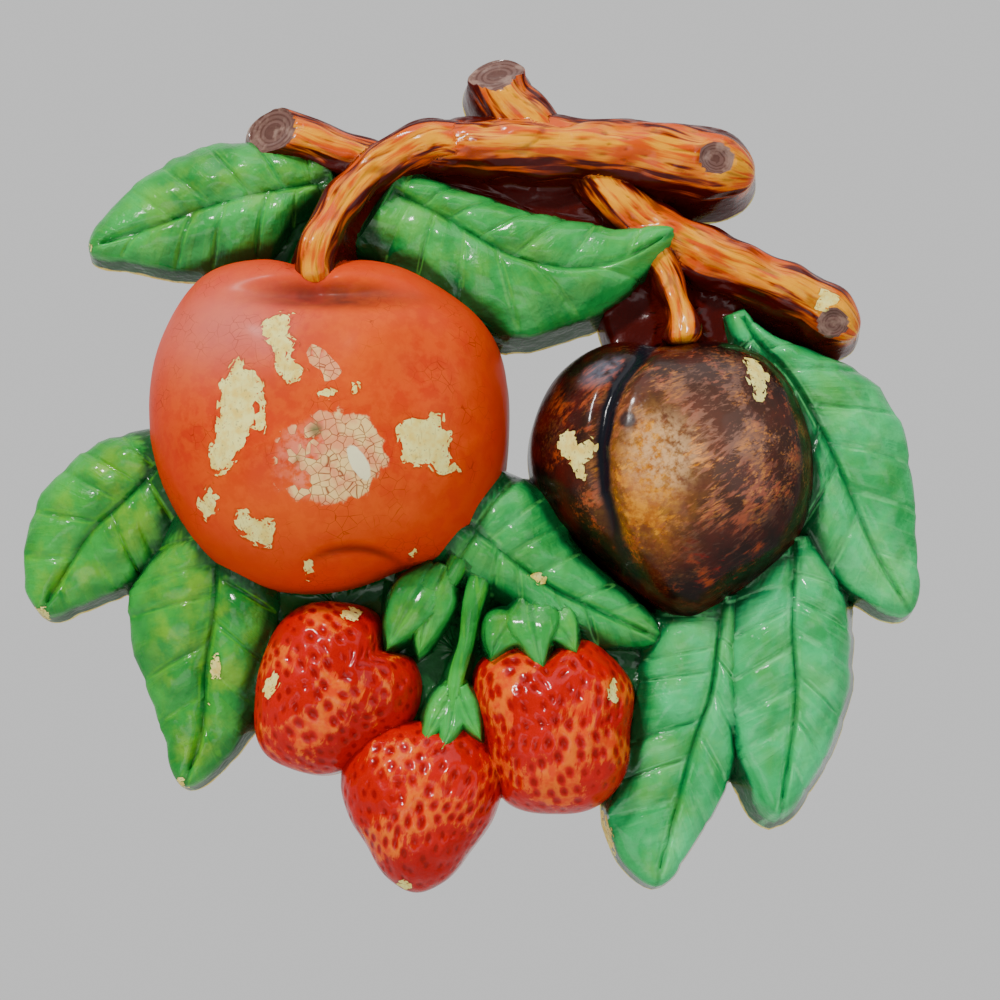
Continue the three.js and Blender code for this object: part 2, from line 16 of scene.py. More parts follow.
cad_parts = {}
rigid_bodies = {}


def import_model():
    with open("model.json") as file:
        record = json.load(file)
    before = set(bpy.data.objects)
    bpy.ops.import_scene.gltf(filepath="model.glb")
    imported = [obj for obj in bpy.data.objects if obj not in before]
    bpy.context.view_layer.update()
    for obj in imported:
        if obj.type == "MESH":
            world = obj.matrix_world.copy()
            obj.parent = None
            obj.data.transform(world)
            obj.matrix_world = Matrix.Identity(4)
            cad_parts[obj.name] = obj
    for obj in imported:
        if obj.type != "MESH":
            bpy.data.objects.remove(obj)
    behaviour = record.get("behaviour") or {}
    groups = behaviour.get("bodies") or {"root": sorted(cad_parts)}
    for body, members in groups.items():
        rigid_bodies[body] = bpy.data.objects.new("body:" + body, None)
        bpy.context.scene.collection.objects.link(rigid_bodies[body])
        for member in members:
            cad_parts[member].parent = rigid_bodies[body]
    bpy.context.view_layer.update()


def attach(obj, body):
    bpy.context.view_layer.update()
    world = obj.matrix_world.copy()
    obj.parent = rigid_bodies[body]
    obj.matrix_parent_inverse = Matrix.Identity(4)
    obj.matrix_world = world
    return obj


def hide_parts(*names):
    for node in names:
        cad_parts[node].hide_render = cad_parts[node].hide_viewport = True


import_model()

MM = 0.001

# Whole casting
HANG = (-0.8, 2.6)
WALL_SLOPE = 0.16
FRUIT_WALL_SLOPE = 0.04
WALL_REACH = 5
SINK = 2.0
POCKET_WIDTH = 9.0
POCKET_HEIGHT = 6.0
POCKET_DEPTH = 8.0
LUMP_HEIGHT = 0.16
LUMP_SIZE = 7.0
LUMP_SEED = 7
SEAM_ANGLE = 0.35
FILLET_ROUNDS = 5
BACK_BLOCK = 500.0
BACK_TOLERANCE = 0.01
CREASE_ANGLE = 60

# Lumps in the forms themselves: their height and size
LUMPS = {
    "apple": (0.22, 17),
    "plum": (0.2, 13),
    "strawberry": (0.25, 8),
    "leaf": (0.3, 7),
    "sepal": (0.15, 5),
    "web": (0.5, 9),
}

# Leaves: widths at stations along the midrib, rises in millimetres
LEAF_STATIONS = [0, 0.18, 0.34, 0.5, 0.66, 0.8, 0.92, 1]
LEAF_STEP = 2.4
LEAF_RINGS = 20
LEAF_SWELL = 1.6
MIDRIB_DEPTH = 1.2
MIDRIB_SHARE = 0.17
MIDRIB_CUT = 0.6
MIDRIB_CUT_HALF = 0.8
VEIN_LEAD = 0.13
VEIN_SAG = 0.8
VEIN_CUT = 0.8
VEIN_CUT_HALF = 0.6
VEIN_STATIONS = [-1.6, -1.0, -0.6, -0.3, 0, 0.3, 0.6, 1.0, 1.6]
VEIN_CLEAR = 2.2
RIM_NOTCH = 0.25
EDGE_ROLL = 1.3
TIP_START = 0.93
TIP_SHARE = 0.6
TIP_STEPS = 6
SPINE_START = 0.04
SPINE_END = 0.93
LEAVES = {
    "upper left leaf": {
        "rib": [[-31, -7], [-58.2, -12.9], [-72.4, -17.5], [-87, -22]],
        "left": [4, 7, 14.6, 14.6, 11.2, 7, 3.4],
        "right": [8, 11, 14.2, 15.2, 13.4, 10.4, 6],
        "rib_rise": [13, 14, 10],
        "left_rise": [8, 9],
        "right_rise": [9, 8],
        "veins": 6,
        "blue": 0.15,
        "yellow": 0.5,
    },
    "upper middle leaf": {
        "rib": [
            [-21, -9.5], [-9.7, -15.4], [0.2, -21.7], [8.9, -26.2], [19.8, -28.4], [31, -26.8], [43.4, -20],
        ],
        "left": [6, 7.8, 10.4, 11.7, 11.1, 8.5, 4.6],
        "right": [16, 15.5, 16.8, 16.2, 10.4, 5.6, 2.6],
        "rib_rise": [15, 17, 18.5],
        "left_rise": [12, 17],
        "right_rise": [10.5, 16],
        "veins": 7,
        "blue": 0.2,
        "yellow": 0.3,
    },
    "left leaf": {
        "rib": [[-66, -68.7], [-76.2, -78.8], [-83.5, -85.3], [-88.6, -92.9], [-94.4, -103]],
        "left": [8, 12.4, 13.6, 13.6, 12.4, 8.4, 4.2],
        "right": [9, 13.4, 15, 14.8, 12.8, 10, 6.4],
        "rib_rise": [15, 13, 9.5],
        "left_rise": [10, 8.5],
        "right_rise": [10, 8.5],
        "veins": 6,
        "blue": 0.0,
        "yellow": 0.8,
    },
    "lower left leaf": {
        "rib": [[-57.6, -80], [-56, -92], [-56.4, -103], [-58, -113.2], [-59.3, -130], [-62.9, -139.6]],
        "left": [9, 11.6, 13, 13, 12.4, 8.2, 4],
        "right": [9, 15.5, 19.2, 17.6, 12.6, 9.2, 5.8],
        "rib_rise": [16, 14.5, 9.5],
        "left_rise": [10, 9],
        "right_rise": [10, 9],
        "veins": 6,
        "blue": 0.0,
        "yellow": 0.8,
    },
    "middle leaf": {
        "rib": [[-4, -83], [13, -96.6], [25.6, -102.9], [38.6, -108.6]],
        "left": [14, 16, 13.8, 11, 8.4, 6.6, 4.4],
        "right": [12, 11.4, 8.4, 7.9, 7.7, 6.4, 3.8],
        "rib_rise": [19, 18.5, 14],
        "left_rise": [13, 13],
        "right_rise": [12, 12],
        "veins": 6,
        "blue": 0.35,
        "yellow": 0.15,
    },
    "right leaf": {
        "rib": [
            [56.6, -36.4], [61.1, -44.4], [67.4, -51.6], [74.7, -65.2], [79.8, -76.8], [84.8, -88.7],
            [92.6, -103],
        ],
        "left": [1.6, 6.4, 15.4, 17.1, 14.6, 10.6, 6.2],
        "right": [3, 7, 9, 11, 13.4, 11.4, 5.6],
        "rib_rise": [13, 15, 11],
        "left_rise": [9.5, 10],
        "right_rise": [12, 10],
        "veins": 7,
        "blue": 0.75,
        "yellow": 0.3,
    },
    "lower right leaf": {
        "rib": [[67.4, -86], [66.8, -100], [66.6, -109], [67.2, -117.5], [66.5, -128], [63.4, -145.6]],
        "left": [4, 10.4, 12.5, 11.8, 9.6, 7, 3.8],
        "right": [6, 12, 14, 14.4, 12.6, 9.8, 5],
        "rib_rise": [15, 15.5, 13],
        "left_rise": [11, 12],
        "right_rise": [12, 14],
        "wall_slope": 0.3,
        "veins": 7,
        "blue": 1.0,
        "yellow": 0.25,
    },
    "bottom leaf": {
        "rib": [[52, -98], [49.5, -119.5], [45.8, -130], [42.4, -142.5], [37.4, -160.6]],
        "left": [5, 5.2, 6.9, 9.6, 8.8, 6.2, 3.8],
        "right": [11, 15, 15.6, 14, 12.8, 13.8, 9.4],
        "rib_rise": [15, 13, 9.5],
        "left_rise": [9, 9],
        "right_rise": [9.5, 10],
        "veins": 7,
        "blue": 0.9,
        "yellow": 0.35,
    },
}

# Sepals that fall from the stems over the strawberries
SEPAL_STATIONS = [0, 0.35, 0.7, 1]
SEPAL_STEPS = 20
SEPAL_RINGS = 9
SEPAL_FALL = 0.5
SEPALS = [
    {"rib": [[-9, -93], [-15, -103], [-19.4, -111.4]], "half": [1.8, 5, 3.4], "rise": [16, 18.5, 16.5]},
    {"rib": [[-7, -93], [-10.5, -103], [-12.6, -112.4]], "half": [1.8, 4.6, 3], "rise": [17, 17.5, 16]},
    {"rib": [[-5, -119], [-9, -126], [-11.8, -131.6]], "half": [2.4, 2.8, 1.8], "rise": [16, 17.5, 18]},
    {"rib": [[-5.2, -120], [-6, -128], [-8.4, -133.2]], "half": [2.4, 2.8, 1.6], "rise": [16, 18, 19]},
    {"rib": [[-4.4, -119], [-2, -125], [0.8, -130.4]], "half": [2.4, 2.8, 1.8], "rise": [16, 17.5, 18]},
    {"rib": [[9, -103], [4.6, -108.4], [2.6, -113.4]], "half": [1.4, 4.6, 2.6], "rise": [15, 18.5, 18]},
    {"rib": [[10.6, -98], [12, -109], [13.6, -116]], "half": [1.6, 5.4, 2.8], "rise": [15, 20, 19.5]},
    {"rib": [[13, -103], [18, -107.4], [20.6, -112]], "half": [1.4, 4.4, 2.4], "rise": [15, 18.5, 18.5]},
]

# Fruit: outline radius by angle in degrees from +x, turning toward +z
DENT_SPREAD = 32
DENT_STEPS = 25
APPLE = {
    "centre": [-32.5, -61.5],
    "rise": 37,
    "widest": 9,
    "fullness": 2.35,
    "outline": [
        [0, 38.8], [27, 40.2], [50, 38], [70, 36.9], [84, 35], [93, 31.6], [103, 35], [113, 38.6],
        [130, 42.2], [152, 40.8], [180, 38.8], [212, 38.3], [228, 39.2], [246, 38.7], [270, 37],
        [295, 36], [312, 39], [340, 39.3],
    ],
    "steps": 216,
    "rings": 56,
}
CAVITY = {"x": -33.5, "z": -37.6, "half_width": 17, "half_height": 3.4, "depth": 5.6}
BLOSSOM_FOLD = {"x": -25.5, "z": -90.8, "half_width": 9, "half_height": 0.8, "bow": 0.027, "depth": 1.4}
BLOSSOM_HOLLOW = {"drop": 1.5, "half_height": 3.0, "depth": 0.7}

PLUM = {
    "centre": [40, -72],
    "rise": 33,
    "widest": 9,
    "fullness": 2.2,
    "outline": [
        [0, 32.2], [22, 32.5], [46, 33.2], [66, 30.6], [86, 26.8], [94, 27.2], [110, 30], [133, 31],
        [155, 30.2], [178, 28.8], [200, 26.1], [232, 24], [258, 27.6], [279, 33], [296, 31],
        [314, 31.4], [335, 32.4],
    ],
    "steps": 188,
    "rings": 50,
}
SUTURE = [
    [38, -45], [33.8, -51], [30, -56], [27.6, -62], [26.2, -70], [26.6, -79], [29.4, -88], [34, -97],
]
SUTURE_DEPTH = 3.4
SUTURE_HALF_WIDTH = 1.7
SUTURE_OUTER_SHARE = 1.5
SUTURE_INNER_SHARE = 0.8
SMALL_LOBE_DROP = 2.2

BERRY_WIDEST = 7
BERRY_RADIUS = 18.5
SEEDED_RADIUS = 19.0
BERRY_FULLNESS = 2.3
BERRY_STEPS = 132
BERRY_RINGS = 36
BERRIES = {
    "left strawberry": {
        "centre": [-31, -119],
        "rise": 22,
        "turn": 30,
        "outline": [
            [20, 18.2], [37, 13.6], [58, 18.2], [84, 18.6], [113, 19.1], [126, 18.6], [154, 16.7],
            [188, 17], [221, 20.1], [242, 19.3], [268, 18.2], [296, 15.7], [315, 15.6], [343, 18.7],
        ],
    },
    "middle strawberry": {
        "centre": [-12, -143],
        "rise": 22,
        "turn": -8,
        "outline": [
            [18, 18.1], [45, 19.6], [70, 18.4], [93, 17.2], [115, 18.6], [140, 19.4], [162, 18.2],
            [190, 15.9], [218, 14.8], [247, 17.6], [266, 19], [283, 17.7], [315, 14.6], [352, 15.7],
        ],
    },
    "right strawberry": {
        "centre": [16, -127],
        "rise": 24,
        "turn": 6,
        "outline": [
            [27, 19], [52, 19.4], [75, 19.9], [98, 14.8], [115, 19.2], [141, 21.2], [157, 19],
            [180, 15.6], [222, 16.4], [237, 18.9], [270, 18.6], [297, 19.3], [323, 18.6], [357, 16.4],
        ],
    },
}
SEED_ACROSS = 3.5
SEED_ALONG = 4.3
SEED_STRAY = 0.6
PIT_HALF_WIDTH = 0.85
PIT_HALF_LENGTH = 1.3
PIT_DEPTH = 0.8

# Branches: rounded ridges along a path, each with a rounded end.
# Hollows: place along, turn over the top, their half sizes and a depth.
# Knots: x, z, half size, turn and depth.
# Cuts: how far back the slanting cut reaches, and its slope.
BRANCH_ARC_STEPS = 30
BRANCH_STEP = 0.75
NOSE_STEPS = 14
BARK_GROOVE = 0.35
BARK_SWELL = 0.45
BARK_GROOVE_SIZES = (34, 5.5)
BARK_GROOVE_SHARPNESS = 0.22
BARK_SWELL_SIZES = (15, 9)
CUT_DISH = 1.0
CUT_RING_DEPTH = 0.12
CUT_RING_TURNS = 16
OFF_CUT = 2.0
KNOT_SQUASH = 0.86
KNOT_LIP = 0.5
KNOT_RING_DEPTH = 0.15
KNOT_RING_TURNS = 13
BRANCHES = {
    "top branch": {
        "path": [
            [-14, -1.6], [-5, -0.2], [6, -0.2], [18, -0.4], [31, -1.1], [44, -3], [53, -4.3], [61, -6.2],
        ],
        "half": [4.4, 6.7, 6.9, 7.1, 7.4, 8.0, 8.5, 8.5],
        "rise": [15.5, 18.5, 19, 19, 19, 19.2, 19.2, 18.6],
        "nose": 12,
        "hollows": [
            (0.22, 0.6, 0.05, 0.1, 1.6), (0.4, 0.7, 0.08, 0.08, 1.1), (0.62, 0.64, 0.06, 0.07, 0.7),
        ],
        "knots": [(51.6, -4.6, 3.7, -12, 1.3)],
    },
    "upper stub": {
        "path": [[18, -2], [11, 5.4], [5.6, 12], [2.5, 21.1]],
        "half": [7.6, 7.2, 6.9, 6.4],
        "rise": [16, 17, 17.4, 17],
        "nose": 6,
        "hollows": [(0.62, 0.3, 0.16, 0.14, 1.3)],
        "cut": (9.5, 0.85),
    },
    "left stub": {
        "path": [[-19, -4.6], [-30, -1.4], [-40, 2.2], [-51.6, 5.6]],
        "half": [5.2, 5, 5.4, 5.7],
        "rise": [15, 16, 17, 17],
        "nose": 6.5,
        "hollows": [(0.5, 0.75, 0.16, 0.1, 1.1)],
        "cut": (12, 0.8),
    },
    "apple stem": {
        "path": [
            [4, -0.6], [-8, 0.6], [-16, -1.6], [-24, -7], [-30.2, -15.6], [-33.6, -24], [-34.6, -30.6],
            [-33.8, -35],
        ],
        "half": [4.4, 5.8, 5.4, 5, 4.6, 4.3, 4.4, 4.8],
        "rise": [13.5, 17.6, 18.5, 19, 20.5, 24, 28, 27],
        "nose": 3,
    },
    "lower right branch": {
        "path": [[22, -1.6], [28.6, -10], [37, -17.4], [50, -24.6], [64, -31], [74, -36], [82.8, -42]],
        "half": [5, 5.4, 6.4, 6.6, 6.4, 6.4, 6.4],
        "rise": [13, 15.4, 15.8, 17, 17, 17, 16.4],
        "nose": 8,
        "hollows": [(0.45, 0.3, 0.06, 0.08, 0.8), (0.7, 0.7, 0.08, 0.09, 0.9)],
        "knots": [(76.6, -40.6, 3.3, 0, 1.2)],
    },
    "plum twig": {
        "path": [[38, -22], [41.6, -31], [43.6, -40], [44, -46]],
        "half": [4.8, 3.6, 3.4, 4.4],
        "rise": [15.5, 16, 19, 21],
        "nose": 2,
    },
}
STALKS = {
    "strawberry stem": {
        "path": [[2.6, -90], [-0.6, -99], [-2.6, -109], [-4.8, -118], [-5.8, -125]],
        "half": [2.8, 2.4, 1.9, 1.7, 1.7],
        "rise": [14, 17.4, 16.5, 16, 17],
        "nose": 1,
    },
    "leaf stalk": {
        "path": [[-4, -92], [-9, -101], [-12, -109]],
        "half": [2.6, 2.2, 2],
        "rise": [18, 16, 14],
        "nose": 1,
    },
}

# Webs: the low ground between the raised forms, green or bark
WEB_STEP = 2.0
WEBS = [
    ("leaf", 6.5, [[-32, -5], [-20, -14], [-26, -30], [-44, -30], [-51, -25], [-44, -16]]),
    ("bark", 9, [[-26, -2], [40, -6], [42, -20], [30, -19], [8, -16], [-8, -10], [-22, -12]]),
    ("bark", 8.5, [[28, -22], [60, -30], [60, -46], [52, -48], [30, -46], [27.6, -38]]),
    ("leaf", 9, [[-20, -92], [4, -88], [14, -102], [6, -118], [-3, -134], [-14, -132], [-22, -112]]),
    ("leaf", 8, [[22, -106], [54, -98], [52, -122], [34, -128], [24, -120]]),
    ("leaf", 7.5, [[-52, -88], [-10, -92], [-10, -112], [-48, -116]]),
    ("leaf", 9, [[0, -70], [10, -74], [20, -84], [20, -96], [0, -96]]),
]

# Chips in the paint: outlines in millimetres from the nail, as [x, z]
APPLE_CHIPS = [
    [
        [-43.8, -50.3], [-43.1, -47.7], [-39.9, -45.4], [-37.2, -46.1], [-37.7, -48.4], [-38.7, -50.2],
        [-35.9, -52.8], [-37.9, -53.9], [-37.8, -56.1], [-35.0, -56.7], [-33.7, -58.4], [-35.7, -60.1],
        [-38.3, -61.5], [-39.8, -58.5], [-40.6, -52.8], [-42.7, -51.0],
    ],
    [
        [-47.9, -54.7], [-47.1, -57.7], [-44.4, -58.8], [-43.1, -61.4], [-44.8, -65.9], [-45.2, -70.8],
        [-46.7, -72.7], [-47.9, -75.5], [-49.5, -77.4], [-51.7, -78.9], [-54.1, -77.7], [-54.0, -73.1],
        [-52.2, -71.6], [-52.3, -64.3], [-51.7, -60.6], [-49.9, -57.7],
    ],
    [
        [-15.6, -69.9], [-13.6, -67.7], [-9.4, -68.1], [-8.6, -66.4], [-6.4, -66.2], [-6.3, -69.3],
        [-4.9, -69.9], [-5.7, -73.7], [-4.3, -76.3], [-2.7, -77.5], [-7.0, -78.8], [-9.4, -76.6],
        [-14.0, -77.2], [-14.8, -74.1],
    ],
    [[-54.2, -81.1], [-52.5, -83.5], [-53.5, -86.2], [-55.1, -87.6], [-56.6, -85.9], [-57.1, -83.7]],
    [
        [-48.9, -86.5], [-46.9, -86.2], [-45.3, -87.8], [-40.1, -88.7], [-41.3, -90.8], [-41.9, -93.2],
        [-44.6, -92.6], [-47.3, -90.9], [-49.1, -88.8],
    ],
    [[-31.6, -62.2], [-29.6, -61.7], [-27.7, -62.6], [-28.3, -63.8], [-30.8, -63.8]],
    [[-44.0, -63.2], [-43.0, -62.9], [-42.5, -67.0], [-42.8, -71.0], [-43.8, -70.4]],
    [[-24.5, -60.7], [-23.5, -61.1], [-23.5, -62.9], [-24.5, -63.1]],
    [[-13.8, -93.0], [-12.2, -92.8], [-11.9, -94.1], [-13.6, -94.7]],
    [[-34.7, -95.9], [-33.7, -96.1], [-33.7, -98.8], [-34.8, -99.1]],
]
APPLE_SCUFF = [
    [-34.6, -53.9], [-33.1, -52.4], [-30.5, -53.9], [-27.6, -56.5], [-26.8, -58.6], [-28.2, -60.1],
    [-30.4, -60.7], [-31.1, -58.2], [-33.5, -56.7],
]
PLUM_CHIPS = [
    [
        [17.9, -68.8], [21.0, -68.4], [21.5, -71.1], [24.0, -70.5], [25.4, -71.7], [24.7, -74.5],
        [23.3, -75.8], [23.0, -79.2], [21.3, -78.6], [20.3, -75.3], [17.9, -73.7],
    ],
    [
        [56.8, -52.1], [60.5, -53.2], [61.9, -56.3], [61.3, -59.6], [59.9, -62.5], [58.8, -62.4],
        [58.3, -59.8], [57.0, -57.1],
    ],
]
BERRY_CHIPS = [
    [[-44.3, -122.3], [-43.2, -120.2], [-41.4, -117.8], [-40.2, -118.6], [-41.3, -121.5], [-43.1, -124.0]],
    [[-28.4, -105.8], [-26.6, -104.6], [-24.4, -105.4], [-25.0, -107.6], [-27.3, -107.2]],
    [[-16.0, -162.5], [-14.1, -161.4], [-12.9, -162.9], [-14.5, -164.5]],
    [[27.8, -121.1], [29.0, -120.0], [30.0, -122.3], [29.5, -124.6], [28.2, -123.8]],
]
LEAF_CHIPS = [
    [[-56.2, -114.7], [-54.0, -114.7], [-53.9, -120.0], [-56.1, -119.0]],
    [[-57.0, -124.4], [-55.9, -124.6], [-56.3, -125.5]],
    [[-64.3, -141.0], [-62.2, -141.0], [-61.3, -142.7], [-63.4, -142.9]],
    [[-87.6, -23.0], [-85.6, -23.4], [-85.8, -25.0], [-87.4, -25.2]],
    [[-95.6, -104.4], [-92.6, -104.7], [-92.6, -106.4], [-95.0, -106.4]],
    [[11.7, -97.8], [14.8, -98.4], [14.4, -99.9], [12.1, -99.5]],
    [[26.9, -147.9], [25.0, -150.7], [26.6, -155.4], [29.8, -158.6], [29.4, -152.8], [27.7, -148.5]],
]
BARK_CHIPS = [
    [[75.1, -36.0], [79.4, -37.8], [78.5, -39.4], [75.6, -40.9], [73.7, -40.0]],
]
CHIPS = {
    "apple": APPLE_CHIPS,
    "plum": PLUM_CHIPS,
    "strawberry": BERRY_CHIPS,
    "leaf": LEAF_CHIPS,
    "bark": BARK_CHIPS,
}
NO_CHIP = 9.0
CHIP_RAGGEDNESS = 1.3

# Fields that the forms lay out themselves. Share runs from 0 at a form's middle to 1 at its rim. Mark
# is the apple's fold, the plum's suture, a seed pit, a vein or a groove in bark. Run and girth are
# distances along a form and round it.
LAID_FIELDS = ("share", "mark", "blue", "yellow", "cut", "run", "girth")

# Hollows that hold shade: the grid's cell, its margin, and the reach of the ground round a point
HOLLOW_CELL = 1.25
HOLLOW_MARGIN = 12
HOLLOW_REACH = 8
HOLLOW_BLUR = 3.6

# Coloured areas: centre x, z and half sizes in millimetres from the nail, and a turn in degrees
CRACKLED_PATCH = (-29.4, -76.0, 12.2, 9.6, 8)
PALE_FLAKE = (-23.2, -77.0, 1.7, 3.7, 28)
STEM_SHADOW = (-29.0, -40.8, 17.0, 3.4, 0)
PINK_SHEEN = (-52.0, -47.5, 15.0, 11.0, 0)
GREEN_SMUDGE = (-31.9, -70.4, 1.5, 1.3, 30)
DARK_SPOT = (-35.7, -76.6, 0.7, 0.6, 0)
PLUM_GOLD = (36.0, -80.0, 8.5, 13.0, 0)
PLUM_BLOOM = (38.5, -74.5, 8.5, 9.5, 0)
PLUM_HAZE = (47.0, -72.0, 20.0, 17.0, 25)
PLUM_SPOT = (31.6, -67.4, 1.8, 1.9, 0)
PLUM_COOL_SHEEN = (27.0, -55.4, 6.5, 3.6, 35)
PLUM_TIP_GLOW = (50.0, -97.0, 8.0, 5.0, 0)

# Camera in millimetres and degrees, studio in metres
CAMERA_AWAY = 400.0
CAMERA_RISE = -8.0
CAMERA_AIM = (5.36, 0.0, -79.7)
FRAME_WIDTH = 222.0
SENSOR_WIDTH = 36.0
FLOOR_DROP = 0.55
FLOOR_HALF = 1.5
LIT_MIDDLE = (0, 0, -0.08)
FRONT_GLOW = 0.32
BACK_GLOW = 0.8


# Curves


def smooth_curve(knots, values, places):
    """Smooth curve through knots, at an array of places. Values may be numbers or points."""
    knots = np.asarray(knots, float)
    values = np.asarray(values, float)
    places = np.asarray(places, float)
    last = len(knots) - 1
    k = np.clip(np.searchsorted(knots, places, side="right") - 1, 0, last - 1)
    low = np.maximum(0, np.arange(last + 1) - 1)
    high = np.minimum(last, np.arange(last + 1) + 1)
    gap = (knots[high] - knots[low]).reshape((-1,) + (1,) * (values.ndim - 1))
    slopes = (values[high] - values[low]) / gap
    span = knots[k + 1] - knots[k]
    u = np.clip((places - knots[k]) / span, 0, 1)
    if values.ndim > 1:
        u = u[:, None]
        span = span[:, None]
    square = u * u
    cube = square * u
    ease = 3 * square - 2 * cube
    return (
        values[k] * (1 - ease) + values[k + 1] * ease
        + (cube - 2 * square + u) * span * slopes[k]
        + (cube - square) * span * slopes[k + 1]
    )


def even_curve(values, places):
    return smooth_curve(np.linspace(0, 1, len(values)), values, places)


def path_length(points):
    return float(np.linalg.norm(np.diff(np.asarray(points, float), axis=0), axis=1).sum())


def path_at(points, places):
    points = np.asarray(points, float)
    lengths = np.concatenate([[0], np.cumsum(np.linalg.norm(np.diff(points, axis=0), axis=1))])
    return smooth_curve(lengths / lengths[-1], points, places)


def heading_at(points, places):
    """Unit vectors along a path and on its left."""
    reach = 0.01
    step = path_at(points, np.minimum(1, places + reach)) - path_at(points, np.maximum(0, places - reach))
    along = step / np.linalg.norm(step, axis=1, keepdims=True)
    return along, np.stack([-along[:, 1], along[:, 0]], axis=1)


def outline_radius(outline, degrees):
    table = np.asarray(outline, float)
    wrapped = np.concatenate([table + [turn, 0] for turn in (-360, 0, 360)])
    return smooth_curve(wrapped[:, 0], wrapped[:, 1], degrees)


def swell(x, z, size_x, size_z, seed, waves=14):
    """Gentle random waves between about -1 and 1, with wavelengths near the two sizes."""
    random = np.random.default_rng(seed)
    total = np.zeros_like(np.asarray(x, float))
    for _ in range(waves):
        angle = random.uniform(0, 2 * math.pi)
        pitch = random.uniform(0.7, 1.5)
        phase = random.uniform(0, 2 * math.pi)
        crossed = x * math.cos(angle) / size_x + z * math.sin(angle) / size_z
        total += np.cos(2 * math.pi * pitch * crossed + phase)
    return total / math.sqrt(waves)


def lumps_on(kind, x, z, seed):
    height, size = LUMPS[kind]
    return height * swell(x, z, size, size, seed)


# Closed forms


class Forms:
    """The closed forms of the casting, each with the fields its paint follows."""

    def __init__(self, materials):
        self.materials = materials
        self.collection = bpy.data.collections.new("casting forms")
        self.lookup = {}

    def add(self, name, finish, rings, first, last, fields, seam=None):
        """Adds a closed form made of rings of corners, each with its x, z and rise.

        Fields hold one value a corner. A seam gives the first ring's places along a spine that the ring
        runs up and back, and which is then closed like a zip.
        """
        count = rings.shape[1]
        points = np.concatenate([[first], rings.reshape(-1, 3), [last]])
        ring_ids = 1 + np.arange(rings.shape[0] * count).reshape(rings.shape[0], count)
        nexts = np.roll(ring_ids, -1, axis=1)
        if seam is None:
            faces = [np.stack([np.zeros(count, int), ring_ids[0], nexts[0]], axis=1)]
        else:
            faces = [zip_faces(ring_ids[0], seam)]
        a, b, c, d = ring_ids[:-1], ring_ids[1:], nexts[1:], nexts[:-1]
        faces.append(np.stack([a, b, c], axis=-1).reshape(-1, 3))
        faces.append(np.stack([a, c, d], axis=-1).reshape(-1, 3))
        end = np.full(count, len(points) - 1)
        faces.append(np.stack([end, nexts[-1], ring_ids[-1]], axis=1))
        faces = np.concatenate(faces)
        # Corners at one place are shared, and faces left empty by that go
        keys = np.round(points, 4)
        _, kept, where = np.unique(keys, axis=0, return_index=True, return_inverse=True)
        faces = where.reshape(-1)[faces]
        whole = (faces[:, 0] != faces[:, 1]) & (faces[:, 1] != faces[:, 2]) & (faces[:, 2] != faces[:, 0])
        used, faces = np.unique(faces[whole], return_inverse=True)
        faces = faces.reshape(-1, 3)
        kept = kept[used]
        points = points[kept]
        place = np.stack([points[:, 0] - HANG[0], -points[:, 2], points[:, 1] - HANG[1]], axis=1) * MM
        mesh = bpy.data.meshes.new(name)
        mesh.from_pydata(place.tolist(), [], faces.tolist())
        for material in self.materials.values():
            mesh.materials.append(material)
        index = list(self.materials).index(finish)
        mesh.polygons.foreach_set("material_index", np.full(len(mesh.polygons), index, np.int32))
        mesh.update()
        self.collection.objects.link(bpy.data.objects.new(name, mesh))
        values = {}
        for field, grid in fields.items():
            flat = np.concatenate([[grid[0].mean()], grid.reshape(-1), [grid[-1].mean()]])
            values[field] = flat[kept]
        self.lookup.setdefault(finish, []).append((place, values))

    def mound(self, name, finish, spine, rim, shares, rise_at, fields_at, slope=WALL_SLOPE, seam=None):
        """Rings from a spine out to a rim, then a sloping wall down past the back plane."""
        share = np.asarray(shares, float)[:, None]
        x = spine[None, :, 0] * (1 - share) + rim[None, :, 0] * share
        z = spine[None, :, 1] * (1 - share) + rim[None, :, 1] * share
        share = np.broadcast_to(share, x.shape)
        rise = rise_at(share, x, z)
        rings = np.stack([x, z, rise], axis=-1)
        top = rings[-1]
        # The wall faces away from the rim's general run, not from its small notches
        reach = range(1, WALL_REACH + 1)
        run = sum(np.roll(top, -k, axis=0)[:, :2] - np.roll(top, k, axis=0)[:, :2] for k in reach)
        run /= np.linalg.norm(run, axis=1, keepdims=True)
        out = (top[:, 2] + SINK) * slope
        foot_x = top[:, 0] + run[:, 1] * out
        foot_z = top[:, 1] - run[:, 0] * out
        foot = np.stack([foot_x, foot_z, np.full(len(out), -SINK)], axis=1)
        wall = [top * (1 - part) + foot * part for part in (0.3, 0.6)]
        rings = np.concatenate([rings, [*wall, foot]])
        fields = {}
        for key, grid in fields_at(share, x, z).items():
            fields[key] = np.concatenate([grid, np.repeat(grid[-1:], 3, axis=0)])
        middle = [*foot[:, :2].mean(axis=0), -SINK]
        self.add(name, finish, rings, rings[0, 0], middle, fields, seam)


def zip_faces(ring, places):
    """Faces that close a ring which runs up a spine and back, between its two nearest corners."""
    tip = int(np.argmax(places))
    out = list(range(tip + 1))
    back = [0, *range(len(ring) - 1, tip - 1, -1)]
    faces = []
    i = j = 0
    while i < len(out) - 1 or j < len(back) - 1:
        out_next = places[out[i + 1]] if i < len(out) - 1 else 2
        back_next = places[back[j + 1]] if j < len(back) - 1 else 2
        if out_next <= back_next:
            faces.append([ring[back[j]], ring[out[i]], ring[out[i + 1]]])
            i += 1
        else:
            faces.append([ring[out[i]], ring[back[j + 1]], ring[back[j]]])
            j += 1
    return np.array(faces)


def even(grid, value):
    return np.full(grid.shape, float(value))


